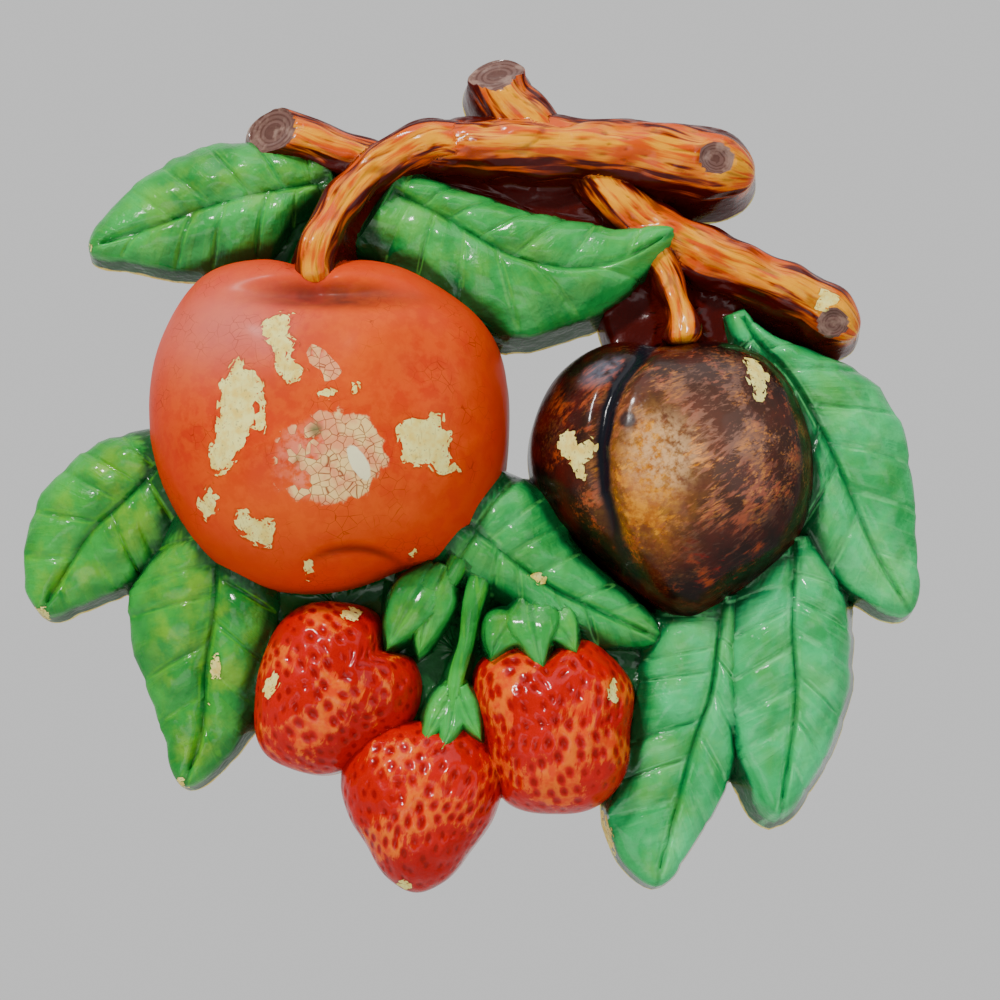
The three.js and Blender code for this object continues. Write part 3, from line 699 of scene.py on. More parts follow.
def ellipse_depth(x, z, centre_x, centre_z, half_x, half_z, turn=0):
    """Distance of points from an ellipse's middle in its own half sizes: 1 on the ellipse."""
    angle = math.radians(turn)
    dx = x - centre_x
    dz = z - centre_z
    across = (dx * math.cos(angle) + dz * math.sin(angle)) / half_x
    upward = (-dx * math.sin(angle) + dz * math.cos(angle)) / half_z
    return np.hypot(across, upward)


def add_fruit(forms, name, finish, shape, relief):
    """A dome over an outline. The relief gives its depth and its mark at any place on it."""
    degrees = np.arange(shape["steps"]) * 360 / shape["steps"]
    radius = outline_radius(shape["outline"], degrees)
    # Dents of the outline fade out toward the middle of the dome
    around = np.linspace(-DENT_SPREAD, DENT_SPREAD, DENT_STEPS)
    calm = np.mean([outline_radius(shape["outline"], degrees + turn) for turn in around], axis=0)
    centre = np.asarray(shape["centre"], float)
    angle = np.radians(degrees)
    rim = centre + radius[:, None] * np.stack([np.cos(angle), np.sin(angle)], axis=1)
    shares = np.sin(np.linspace(0, math.pi / 2, shape["rings"] + 1))
    turned = np.broadcast_to(angle, (len(shares), len(angle)))
    marks = {}

    def rise_at(share, x, z):
        inner = share * radius / calm
        level = np.clip(inner + (share - inner) * share ** 4, 0, 1)
        dome = (1 - level ** shape["fullness"]) ** (1 / shape["fullness"])
        depth, marks["mark"] = relief(x, z, share, turned)
        return shape["widest"] + (shape["rise"] - shape["widest"]) * dome - depth * np.minimum(1, 2 * dome)

    def fields_at(share, x, z):
        return {"share": share, "mark": marks["mark"]}

    spine = np.repeat(centre[None], len(rim), axis=0)
    forms.mound(name, finish, spine, rim, shares, rise_at, fields_at, FRUIT_WALL_SLOPE)


def apple_relief(x, z, share, turned):
    across = (x - CAVITY["x"]) / CAVITY["half_width"]
    upward = (z - CAVITY["z"]) / CAVITY["half_height"]
    cavity = CAVITY["depth"] * np.exp(-across ** 2 - upward ** 2)
    fold_x = x - BLOSSOM_FOLD["x"]
    fold_z = z - BLOSSOM_FOLD["z"] + BLOSSOM_FOLD["bow"] * fold_x ** 2
    reach = np.exp(-(fold_x / BLOSSOM_FOLD["half_width"]) ** 4)
    crease = reach * np.exp(-(fold_z / BLOSSOM_FOLD["half_height"]) ** 2)
    below = fold_z + BLOSSOM_HOLLOW["drop"]
    hollow = BLOSSOM_HOLLOW["depth"] * reach * np.exp(-(below / BLOSSOM_HOLLOW["half_height"]) ** 2)
    return cavity + BLOSSOM_FOLD["depth"] * crease + hollow + lumps_on("apple", x, z, 3), crease


def nearest_on_line(x, z, line):
    """Distance to a broken line, the side it is passed on, and the place along it from 0 to 1."""
    nearest = np.full(x.shape, 1e9)
    side = np.zeros(x.shape)
    place = np.zeros(x.shape)
    for i, ((ax, az), (bx, bz)) in enumerate(zip(line[:-1], line[1:])):
        dx, dz = bx - ax, bz - az
        t = np.clip(((x - ax) * dx + (z - az) * dz) / (dx * dx + dz * dz), 0, 1)
        gap = np.hypot(x - ax - t * dx, z - az - t * dz)
        closer = gap < nearest
        nearest = np.where(closer, gap, nearest)
        side = np.where(closer, np.sign((x - ax) * dz - (z - az) * dx), side)
        place = np.where(closer, (i + t) / (len(line) - 1), place)
    return nearest, side, place


def plum_relief(x, z, share, turned):
    nearest, side, place = nearest_on_line(x, z, SUTURE)
    fade = np.minimum(1, 1.5 - place)
    width = SUTURE_HALF_WIDTH * np.where(side > 0, SUTURE_OUTER_SHARE, SUTURE_INNER_SHARE)
    groove = fade * np.exp(-(nearest / width) ** 2)
    lobe = np.where(side > 0, SMALL_LOBE_DROP * fade * (1 - np.exp(-nearest / SUTURE_HALF_WIDTH)), 0)
    return SUTURE_DEPTH * groove + lobe + lumps_on("plum", x, z, 5), groove


def berry_relief(berry, seed):
    """Staggered seed pits on the strawberry's surface, laid out as if it were unrolled."""
    random = np.random.default_rng(seed)
    reach = SEEDED_RADIUS * math.pi / 2
    angle = math.radians(berry["turn"])
    seeds = []
    rows = int(reach / SEED_ALONG) + 1
    columns = int(reach / SEED_ACROSS) + 1
    for row in range(-rows, rows + 1):
        for column in range(-columns, columns + 1):
            across = (column + 0.5 * (row % 2)) * SEED_ACROSS + random.normal(0, SEED_STRAY)
            along = row * SEED_ALONG / 1.15 + random.normal(0, SEED_STRAY)
            seeds.append((across, along, random.uniform(0.7, 1.15)))

    def relief(x, z, share, turned):
        unrolled = BERRY_RADIUS * np.arcsin(np.minimum(1, share))
        local_x = unrolled * np.cos(turned - angle)
        local_z = unrolled * np.sin(turned - angle)
        pit = np.zeros(x.shape)
        for across, along, depth in seeds:
            near = ((local_x - across) / PIT_HALF_WIDTH) ** 2 + ((local_z - along) / PIT_HALF_LENGTH) ** 2
            pit = np.maximum(pit, depth * np.exp(-near))
        return PIT_DEPTH * pit + lumps_on("strawberry", x, z, seed + 1), pit

    return relief


def leaf_widths(half, places):
    """Half widths along a leaf's midrib, rounded off at the tip."""
    tip = np.clip((places - TIP_START) / (1 - TIP_START), 0, 1)
    return smooth_curve(LEAF_STATIONS, [*half, TIP_SHARE * half[-1]], places) * np.sqrt(1 - tip ** 2)


def leaf_side(leaf, length, side, random):
    """Places along one side of a leaf, close together at its veins.

    Each place also has its distance from the nearest vein, and that vein's strength.
    """
    veins = (np.arange(leaf["veins"]) + 0.75 - 0.45 * (side > 0)) / leaf["veins"]
    veins = veins[veins < 0.95] + random.normal(0, 0.012, (veins < 0.95).sum())
    between = np.linspace(0, 1, int(length / LEAF_STEP) + 1)
    clear = np.abs(between[:, None] - veins).min(axis=1) > VEIN_CLEAR / length
    clear[[0, -1]] = True
    near = (veins[:, None] + np.array(VEIN_STATIONS) / length).ravel()
    tip = TIP_START + (1 - TIP_START) * np.sin(np.linspace(0, math.pi / 2, TIP_STEPS + 1))
    places = np.unique(np.clip(np.concatenate([between[clear], near, tip]), 0, 1))
    strength = random.uniform(0.3, 1, len(veins))
    away = np.abs(places[:, None] - veins)
    return places, away.min(axis=1) * length, strength[away.argmin(axis=1)]


def add_leaf(forms, name, leaf, seed):
    random = np.random.default_rng(seed)
    length = path_length(leaf["rib"])
    right, right_gap, right_strength = leaf_side(leaf, length, -1, random)
    left, left_gap, left_strength = leaf_side(leaf, length, 1, random)
    places = np.concatenate([right, left[-2::-1]])
    off_vein = np.concatenate([right_gap, left_gap[-2::-1]])
    strength = np.concatenate([right_strength, left_strength[-2::-1]])
    sides = np.concatenate([np.full(len(right), -1), np.full(len(left) - 1, 1)])
    widths = np.where(sides > 0, leaf_widths(leaf["left"], places), leaf_widths(leaf["right"], places))
    notch = RIM_NOTCH * np.exp(-off_vein ** 2)
    widths = np.maximum(0, widths - notch) * (1 + 0.02 * swell(places * 9, sides * 3, 1.2, 1.2, seed))
    _, normal = heading_at(leaf["rib"], places)
    rim = path_at(leaf["rib"], places) + normal * (widths * sides)[:, None]
    back = np.maximum(0, places - VEIN_LEAD * np.sin(math.pi * places))
    spine = path_at(leaf["rib"], SPINE_START + (SPINE_END - SPINE_START) * back)
    edges = np.where(
        sides > 0,
        leaf["left_rise"][0] + (leaf["left_rise"][1] - leaf["left_rise"][0]) * places,
        leaf["right_rise"][0] + (leaf["right_rise"][1] - leaf["right_rise"][0]) * places,
    )
    crowns = even_curve(leaf["rib_rise"], places)
    reach = np.sin(math.pi * np.clip(places * 0.86 + 0.1, 0, 1)) ** 0.6
    shares = np.linspace(0, 1, LEAF_RINGS + 1) ** 0.9
    cut = {}

    def rise_at(share, x, z):
        bulge = 4 * share * (1 - share)
        across = share * np.maximum(widths, 0.5)
        fade = np.clip(share * 5, 0, 1) * np.clip((1 - share) * 4, 0, 1) ** 0.7 * reach
        # Veins thin out toward the rim
        vein = strength * np.exp(-(off_vein / (VEIN_CUT_HALF * (1.25 - 0.5 * share))) ** 2) * fade
        sag = np.exp(-(off_vein / (0.3 * length / leaf["veins"])) ** 2) * fade
        rib = np.exp(-(across / MIDRIB_CUT_HALF) ** 2)
        cut["mark"] = np.maximum(vein, rib)
        lumps = lumps_on("leaf", x, z, seed + 3)
        return (
            crowns + (edges - crowns) * share ** 2
            + LEAF_SWELL * bulge * np.sin(math.pi * np.minimum(1, places + 0.15))
            - MIDRIB_DEPTH * np.exp(-(share / MIDRIB_SHARE) ** 2) - MIDRIB_CUT * rib
            - VEIN_CUT * vein - VEIN_SAG * sag - EDGE_ROLL * share ** 6 + lumps * fade
        )

    def fields_at(share, x, z):
        return {
            "share": share,
            "mark": cut["mark"],
            "blue": even(x, leaf["blue"]),
            "yellow": even(x, leaf["yellow"]),
            "run": share * widths + 40 * sides,
            "girth": np.broadcast_to(places * length + seed, x.shape),
        }

    slope = leaf.get("wall_slope", WALL_SLOPE)
    forms.mound(name, "leaf", spine, rim, shares, rise_at, fields_at, slope, seam=places)


def add_sepal(forms, name, sepal, seed):
    u = np.linspace(0, 1, SEPAL_STEPS + 1)
    places = np.concatenate([u, u[-2::-1]])
    sides = np.concatenate([np.full(SEPAL_STEPS + 1, -1), np.full(SEPAL_STEPS, 1)])
    widths = np.maximum(0, smooth_curve(SEPAL_STATIONS, [*sepal["half"], 0], places))
    _, left = heading_at(sepal["rib"], places)
    rim = path_at(sepal["rib"], places) + left * (widths * sides)[:, None]
    spine = path_at(sepal["rib"], SPINE_START + (SPINE_END - SPINE_START) * places)
    crowns = even_curve(sepal["rise"], places)

    def rise_at(share, x, z):
        fold = 0.5 * np.exp(-(share / 0.2) ** 2)
        fall = share ** 2 * sepal["half"][0] * SEPAL_FALL
        return crowns - fall - fold + lumps_on("sepal", x, z, seed)

    def fields_at(share, x, z):
        return {
            "share": share,
            "mark": np.exp(-(share / 0.15) ** 2),
            "blue": even(x, 0.1),
            "yellow": even(x, 0.35),
            "run": np.broadcast_to(places * 12, x.shape),
            "girth": share * widths * sides + seed,
        }

    shares = np.linspace(0, 1, SEPAL_RINGS + 1)
    forms.mound(name, "leaf", spine, rim, shares, rise_at, fields_at, seam=places)


def branch_stations(branch, length):
    """Places along a branch, close together in its rounded end, and each one's share of the full width."""
    nose = branch["nose"]
    steps = int((length - nose) / BRANCH_STEP)
    body = np.linspace(0, (length - nose) / length, steps, endpoint=False)
    turn = np.linspace(0, math.radians(87), NOSE_STEPS)
    tip = (length - nose + nose * np.sin(turn)) / length
    return np.concatenate([body, tip]), np.concatenate([np.ones(steps), np.cos(turn)])


def bark_surface(branch, place, run, arc, half, seed, bark):
    """How far the bark swells round one ring, as a share of its half width, and where its grooves are."""
    along = np.full_like(arc, run)
    girth = arc * half
    groove = np.exp(-(swell(along, girth, *BARK_GROOVE_SIZES, seed) / BARK_GROOVE_SHARPNESS) ** 2)
    swollen = 1 + bark * BARK_SWELL / half * swell(along, girth, *BARK_SWELL_SIZES, seed + 1)
    swollen -= bark * BARK_GROOVE / half * groove
    for at, turn, half_run, half_turn, depth in branch.get("hollows", []):
        away = ((place - at) / half_run) ** 2 + ((arc / math.pi - turn) / half_turn) ** 2
        swollen -= depth / half * np.exp(-away ** 1.5)
    return swollen, groove


def slanting_cut(cut, past_end, across, height, crown, half):
    """Clips a ring at the slanting cut, and gives each corner's share of the cut face's radius."""
    reach, slope = cut
    face = crown - slope * (past_end + reach)
    share = np.hypot((past_end + reach / 2) * 2 / reach, across / half)
    dish = CUT_DISH * np.clip(1 - share ** 2, 0, 1) + CUT_RING_DEPTH * np.sin(share * CUT_RING_TURNS)
    clipped = height > face
    height = np.where(clipped, face - np.where(share < 1, dish, 0), height)
    return height, np.where(clipped, share, OFF_CUT)


def pressed_knot(knot, x, z, height, low, cut_share):
    """Gives a ring's upper corners the dish and lip of a knot, and their share of the knot's radius."""
    knot_x, knot_z, half, turn, depth = knot
    away = ellipse_depth(x, z, knot_x, knot_z, half, half * KNOT_SQUASH, turn)
    upper = height > low
    lip = KNOT_LIP * np.exp(-((away - 1.05) / 0.2) ** 2)
    rings = KNOT_RING_DEPTH * np.sin(away * KNOT_RING_TURNS) * (away < 1)
    dish = depth * np.clip(1 - away ** 2, 0, 1) ** 0.6 + rings
    height = np.where(upper, height + lip - dish, height)
    return height, np.where(upper & (away < 1), away, cut_share)


def add_branch(forms, name, finish, branch, seed, bark=1.0):
    """A rounded ridge along a path, standing on sloping walls and closed by a rounded end."""
    length = path_length(branch["path"])
    places, narrowing = branch_stations(branch, length)
    centre = path_at(branch["path"], places)
    along, left = heading_at(branch["path"], places)
    full = even_curve(branch["half"], places)
    width = full * narrowing
    axis = even_curve(branch["rise"], places) - full
    distance = places * length
    arc = np.linspace(0, math.pi, BRANCH_ARC_STEPS + 1)
    spread = (axis + SINK) * WALL_SLOPE
    rings = []
    fields = {key: [] for key in ("share", "mark", "cut", "run", "girth")}
    for k, run in enumerate(distance):
        swollen, groove = bark_surface(branch, places[k], run, arc, full[k], seed, bark)
        across = -np.cos(arc) * width[k] * swollen
        height = axis[k] + np.sin(arc) * width[k] * swollen
        foot = width[k] + spread[k] * narrowing[k] * np.array([1.0, 0.5])
        low = np.array([-SINK, (axis[k] - SINK) / 2])
        across = np.concatenate([-foot, across, foot[::-1]])
        height = np.concatenate([low, height, low[::-1]])
        # The wall also slopes away round the end
        forward = (axis[k] - np.minimum(height, axis[k])) * WALL_SLOPE * math.sqrt(1 - narrowing[k] ** 2)
        cut_share = np.full_like(across, OFF_CUT)
        if "cut" in branch:
            crown = axis[k] + full[k]
            height, cut_share = slanting_cut(branch["cut"], run - length, across, height, crown, full[k])
        x = centre[k, 0] + left[k, 0] * across + along[k, 0] * forward
        z = centre[k, 1] + left[k, 1] * across + along[k, 1] * forward
        for knot in branch.get("knots", []):
            height, cut_share = pressed_knot(knot, x, z, height, axis[k], cut_share)
        rings.append(np.stack([x, z, height], axis=1))
        fields["mark"].append(np.concatenate([[0, 0], groove * bark, [0, 0]]))
        fields["share"].append(np.clip(np.abs(across) / full[k], 0, 1.4))
        fields["cut"].append(np.clip(1.3 - cut_share, 0, 1))
        fields["run"].append(np.full_like(across, run))
        girth = arc * full[k]
        foot_girth = np.array([1.5, 3])
        girth = np.concatenate([-foot_girth[::-1], girth, girth[-1] + foot_girth])
        fields["girth"].append(girth + seed)
    rings = np.array(rings)
    fields = {key: np.array(rows) for key, rows in fields.items()}
    forms.add(name, finish, rings, rings[0].mean(axis=0), rings[-1].mean(axis=0), fields)


def add_web(forms, name, finish, rise, outline, seed):
    corners = np.asarray(outline, float)
    shifted = np.roll(corners, -1, axis=0)
    area = (corners[:, 0] * shifted[:, 1] - shifted[:, 0] * corners[:, 1]).sum()
    if area < 0:
        corners = corners[::-1]
    rim = []
    for a, b in zip(corners, np.roll(corners, -1, axis=0)):
        count = max(1, int(np.linalg.norm(b - a) / WEB_STEP))
        rim += [a + (b - a) * i / count for i in range(count)]
    rim = np.array(rim)
    spine = np.repeat(corners.mean(axis=0)[None], len(rim), axis=0)

    def rise_at(share, x, z):
        return rise + lumps_on("web", x, z, seed)

    def fields_at(share, x, z):
        return {"share": even(x, 0.9), "mark": even(x, 0), "blue": even(x, 0.1)}

    forms.mound(name, finish, spine, rim, np.linspace(0, 1, 9), rise_at, fields_at)


# Node building


class Wiring:
    """Short calls for adding and joining the nodes of one tree."""

    def __init__(self, tree):
        self.tree = tree

    def node(self, kind, settings=None, **values):
        made = self.tree.nodes.new(kind)
        for key, value in (settings or {}).items():
            setattr(made, key, value)
        for key, value in values.items():
            self.feed(made.inputs[key.replace("_", " ")], value)
        return made

    def feed(self, socket, value):
        if isinstance(value, bpy.types.NodeSocket):
            self.tree.links.new(value, socket)
        else:
            socket.default_value = value

    def math(self, operation, a, b=0.0, clamp=False):
        made = self.node("ShaderNodeMath", {"operation": operation, "use_clamp": clamp})
        self.feed(made.inputs[0], a)
        self.feed(made.inputs[1], b)
        return made.outputs[0]

    def times(self, value, *others):
        for other in others:
            value = self.math("MULTIPLY", value, other)
        return value

    def plus(self, value, *others):
        for other in others:
            value = self.math("ADD", value, other)
        return value

    def minus(self, a, b):
        return self.math("SUBTRACT", a, b)

    def stray(self, value, width):
        """Turns noise from 0 to 1 into a push of up to half a width either way."""
        return self.times(self.minus(value, 0.5), width)

    def vectors(self, operation, *vectors):
        made = self.node("ShaderNodeVectorMath", {"operation": operation})
        for socket, vector in zip(made.inputs, vectors):
            self.feed(socket, vector)
        return made.outputs[0]

    def parts(self, vector):
        """The x, y and z of a vector."""
        return self.node("ShaderNodeSeparateXYZ", Vector=vector).outputs

    def joined(self, **parts):
        return self.node("ShaderNodeCombineXYZ", **parts).outputs[0]

    def mix(self, factor, a, b, blend="MIX"):
        made = self.node("ShaderNodeMix", {"data_type": "RGBA", "blend_type": blend})
        self.feed(made.inputs[0], factor)
        self.feed(made.inputs[6], a)
        self.feed(made.inputs[7], b)
        return made.outputs[2]

    def ease(self, value, low, high, out_low=0.0, out_high=1.0):
        made = self.node("ShaderNodeMapRange", {"interpolation_type": "SMOOTHSTEP"})
        self.feed(made.inputs[0], value)
        for socket, number in zip(list(made.inputs)[1:5], (low, high, out_low, out_high)):
            self.feed(socket, number)
        return made.outputs[0]

    def field(self, name):
        return self.node("ShaderNodeAttribute", {"attribute_name": name}).outputs["Fac"]

    def place(self):
        return self.node("ShaderNodeTexCoord").outputs["Object"]

    def noise(self, vector, scale, detail=3.0, roughness=0.55, distortion=0.0):
        made = self.node("ShaderNodeTexNoise", Vector=vector, Scale=scale, Detail=detail)
        self.feed(made.inputs["Roughness"], roughness)
        self.feed(made.inputs["Distortion"], distortion)
        return made.outputs[0]

    def use(self, group, **values):
        made = self.node("ShaderNodeGroup", {"node_tree": group})
        for key, value in values.items():
            self.feed(made.inputs[key], value)
        return made.outputs


def paint(red, green, blue):
    """A paint colour from its 0 to 255 screen values."""
    linear = []
    for value in (red, green, blue):
        share = value / 255
        linear.append(share / 12.92 if share <= 0.04045 else ((share + 0.055) / 1.055) ** 2.4)
    return (*linear, 1.0)


def shader_group(name, inputs, outputs, build):
    tree = bpy.data.node_groups.new(name, "ShaderNodeTree")
    for label, kind, default in inputs:
        socket = tree.interface.new_socket(label, in_out="INPUT", socket_type=kind)
        if default is not None:
            socket.default_value = default
    for label, kind in outputs:
        tree.interface.new_socket(label, in_out="OUTPUT", socket_type=kind)
    wiring = Wiring(tree)
    entry = tree.nodes.new("NodeGroupInput")
    result = tree.nodes.new("NodeGroupOutput")
    for label, value in build(wiring, entry.outputs).items():
        wiring.feed(result.inputs[label], value)
    return tree


def chip_group():
    """Where paint has left the plaster: a ragged edge round the drawn outline, and its dark rim."""
    def build(w, given):
        place = given["Place"]
        flakes = w.node("ShaderNodeTexVoronoi", Vector=place, Scale=620.0)
        flake = w.node("ShaderNodeSeparateColor", Color=flakes.outputs["Color"]).outputs[0]
        torn = w.stray(flake, given["Raggedness"])
        fine = w.stray(w.noise(place, 800.0, 1.0, 0.5), 0.7)
        edge = w.plus(w.field("chip"), torn, fine)
        bare = w.ease(edge, 0.05, -0.05)
        # Flecks of paint hold on inside the edge
        fleck = w.ease(w.noise(place, 1250.0, 1.0, 0.7), 0.63, 0.66)
        fleck = w.times(fleck, w.ease(edge, -1.5, -0.2))
        bare = w.times(bare, w.minus(1.0, fleck))
        rim = w.times(w.ease(edge, 0.55, 0.08), w.minus(1.0, bare))
        stain = w.ease(w.noise(place, 420.0, 2.0, 0.6), 0.35, 0.7)
        plaster = w.mix(stain, paint(255, 248, 150), paint(246, 216, 104))
        # Scrapes run up and down
        drawn_out = w.vectors("MULTIPLY", place, (1.0, 1.0, 0.16))
        scrape = w.ease(w.noise(drawn_out, 1700.0, 2.0), 0.6, 0.68)
        plaster = w.mix(w.times(scrape, 0.4), plaster, paint(196, 166, 92))
        speck = w.ease(w.noise(place, 1500.0, 1.0), 0.66, 0.7)
        plaster = w.mix(w.times(speck, 0.5), plaster, paint(150, 128, 92))
        return {"Bare": bare, "Rim": rim, "Plaster": plaster}

    return shader_group(
        "Chipped Paint",
        [("Place", "NodeSocketVector", None), ("Raggedness", "NodeSocketFloat", 1.3)],
        [("Bare", "NodeSocketFloat"), ("Rim", "NodeSocketFloat"), ("Plaster", "NodeSocketColor")],
        build,
    )


def varnish_group():
    """Normals and roughness of a brushed varnish over hand-laid paint."""
    def build(w, given):
        place = given["Place"]
        lumps = w.times(w.noise(place, 210.0, 2.0, 0.5), 0.55)
        grain = w.times(w.noise(place, 900.0, 1.0, 0.6), 0.14)
        height = w.plus(lumps, grain, w.times(given["Relief"], 0.2))
        bump = w.node("ShaderNodeBump", Strength=given["Strength"], Distance=0.0012, Height=height)
        rough = w.ease(w.noise(place, 60.0, 1.0), 0.3, 0.75, 0.2, 0.42)
        return {"Normal": bump.outputs[0], "Roughness": rough}

    return shader_group(
        "Brushed Varnish",
        [
            ("Place", "NodeSocketVector", None),
            ("Strength", "NodeSocketFloat", 0.5),
            ("Relief", "NodeSocketFloat", 0.0),
        ],
        [("Normal", "NodeSocketVector"), ("Roughness", "NodeSocketFloat")],
        build,
    )


def crackle_group():
    """Fine cracks in old paint, 1 on a crack, and a chance from 0 to 1 for each flake between them."""
    def build(w, given):
        place = given["Place"]
        wander = w.node("ShaderNodeTexNoise", Vector=place, Scale=260.0, Detail=0.0).outputs["Color"]
        bent = w.vectors("MULTIPLY_ADD", wander, (0.0012, 0.0012, 0.0012), place)
        to_edge = {"feature": "DISTANCE_TO_EDGE"}
        edges = w.node("ShaderNodeTexVoronoi", to_edge, Vector=bent, Scale=given["Scale"])
        line = w.ease(edges.outputs["Distance"], given["Width"], 0.0)
        flakes = w.node("ShaderNodeTexVoronoi", Vector=bent, Scale=given["Scale"])
        chance = w.node("ShaderNodeSeparateColor", Color=flakes.outputs["Color"]).outputs[0]
        return {"Cracks": line, "Chance": chance}

    return shader_group(
        "Paint Crackle",
        [
            ("Place", "NodeSocketVector", None),
            ("Scale", "NodeSocketFloat", 300.0),
            ("Width", "NodeSocketFloat", 0.06),
        ],
        [("Cracks", "NodeSocketFloat"), ("Chance", "NodeSocketFloat")],
        build,
    )


def dry_brush_group():
    """Streaks of a nearly dry brush along one direction: 1 where paint was left."""
    def build(w, given):
        place = given["Place"]
        axis = {"rotation_type": "Y_AXIS"}
        turned = w.node("ShaderNodeVectorRotate", axis, Vector=place, Angle=given["Turn"]).outputs[0]
        drawn_out = w.vectors("MULTIPLY", turned, (0.22, 1.0, 1.0))
        streaks = w.noise(drawn_out, given["Scale"], 3.0, 0.65)
        patches = w.stray(w.noise(place, 130.0, 1.0), 0.7)
        amount = w.plus(streaks, patches, w.minus(given["Load"], 0.5))
        return {"Left": w.ease(amount, 0.46, 0.64)}

    return shader_group(
        "Dry Brush",
        [
            ("Place", "NodeSocketVector", None),
            ("Turn", "NodeSocketFloat", 0.0),
            ("Load", "NodeSocketFloat", 0.5),
            ("Scale", "NodeSocketFloat", 900.0),
        ],
        [("Left", "NodeSocketFloat")],
        build,
    )


def grain_group():
    """Strokes laid along a form's own run, from the run and girth fields in millimetres."""
    def build(w, given):
        along = w.times(w.field("run"), given["Along"])
        across = w.times(w.field("girth"), given["Across"])
        strokes = w.noise(w.joined(X=along, Y=across, Z=0.0), 1.0, 3.0, 0.6, 0.3)
        patches = w.stray(w.noise(given["Place"], 120.0, 1.0), 0.5)
        amount = w.plus(strokes, patches, w.minus(given["Load"], 0.5))
        return {"Left": w.ease(amount, 0.44, 0.62), "Strokes": strokes}

    return shader_group(
        "Grain Strokes",
        [
            ("Place", "NodeSocketVector", None),
            ("Along", "NodeSocketFloat", 0.12),
            ("Across", "NodeSocketFloat", 1.1),
            ("Load", "NodeSocketFloat", 0.5),
        ],
        [("Left", "NodeSocketFloat"), ("Strokes", "NodeSocketFloat")],
        build,
    )


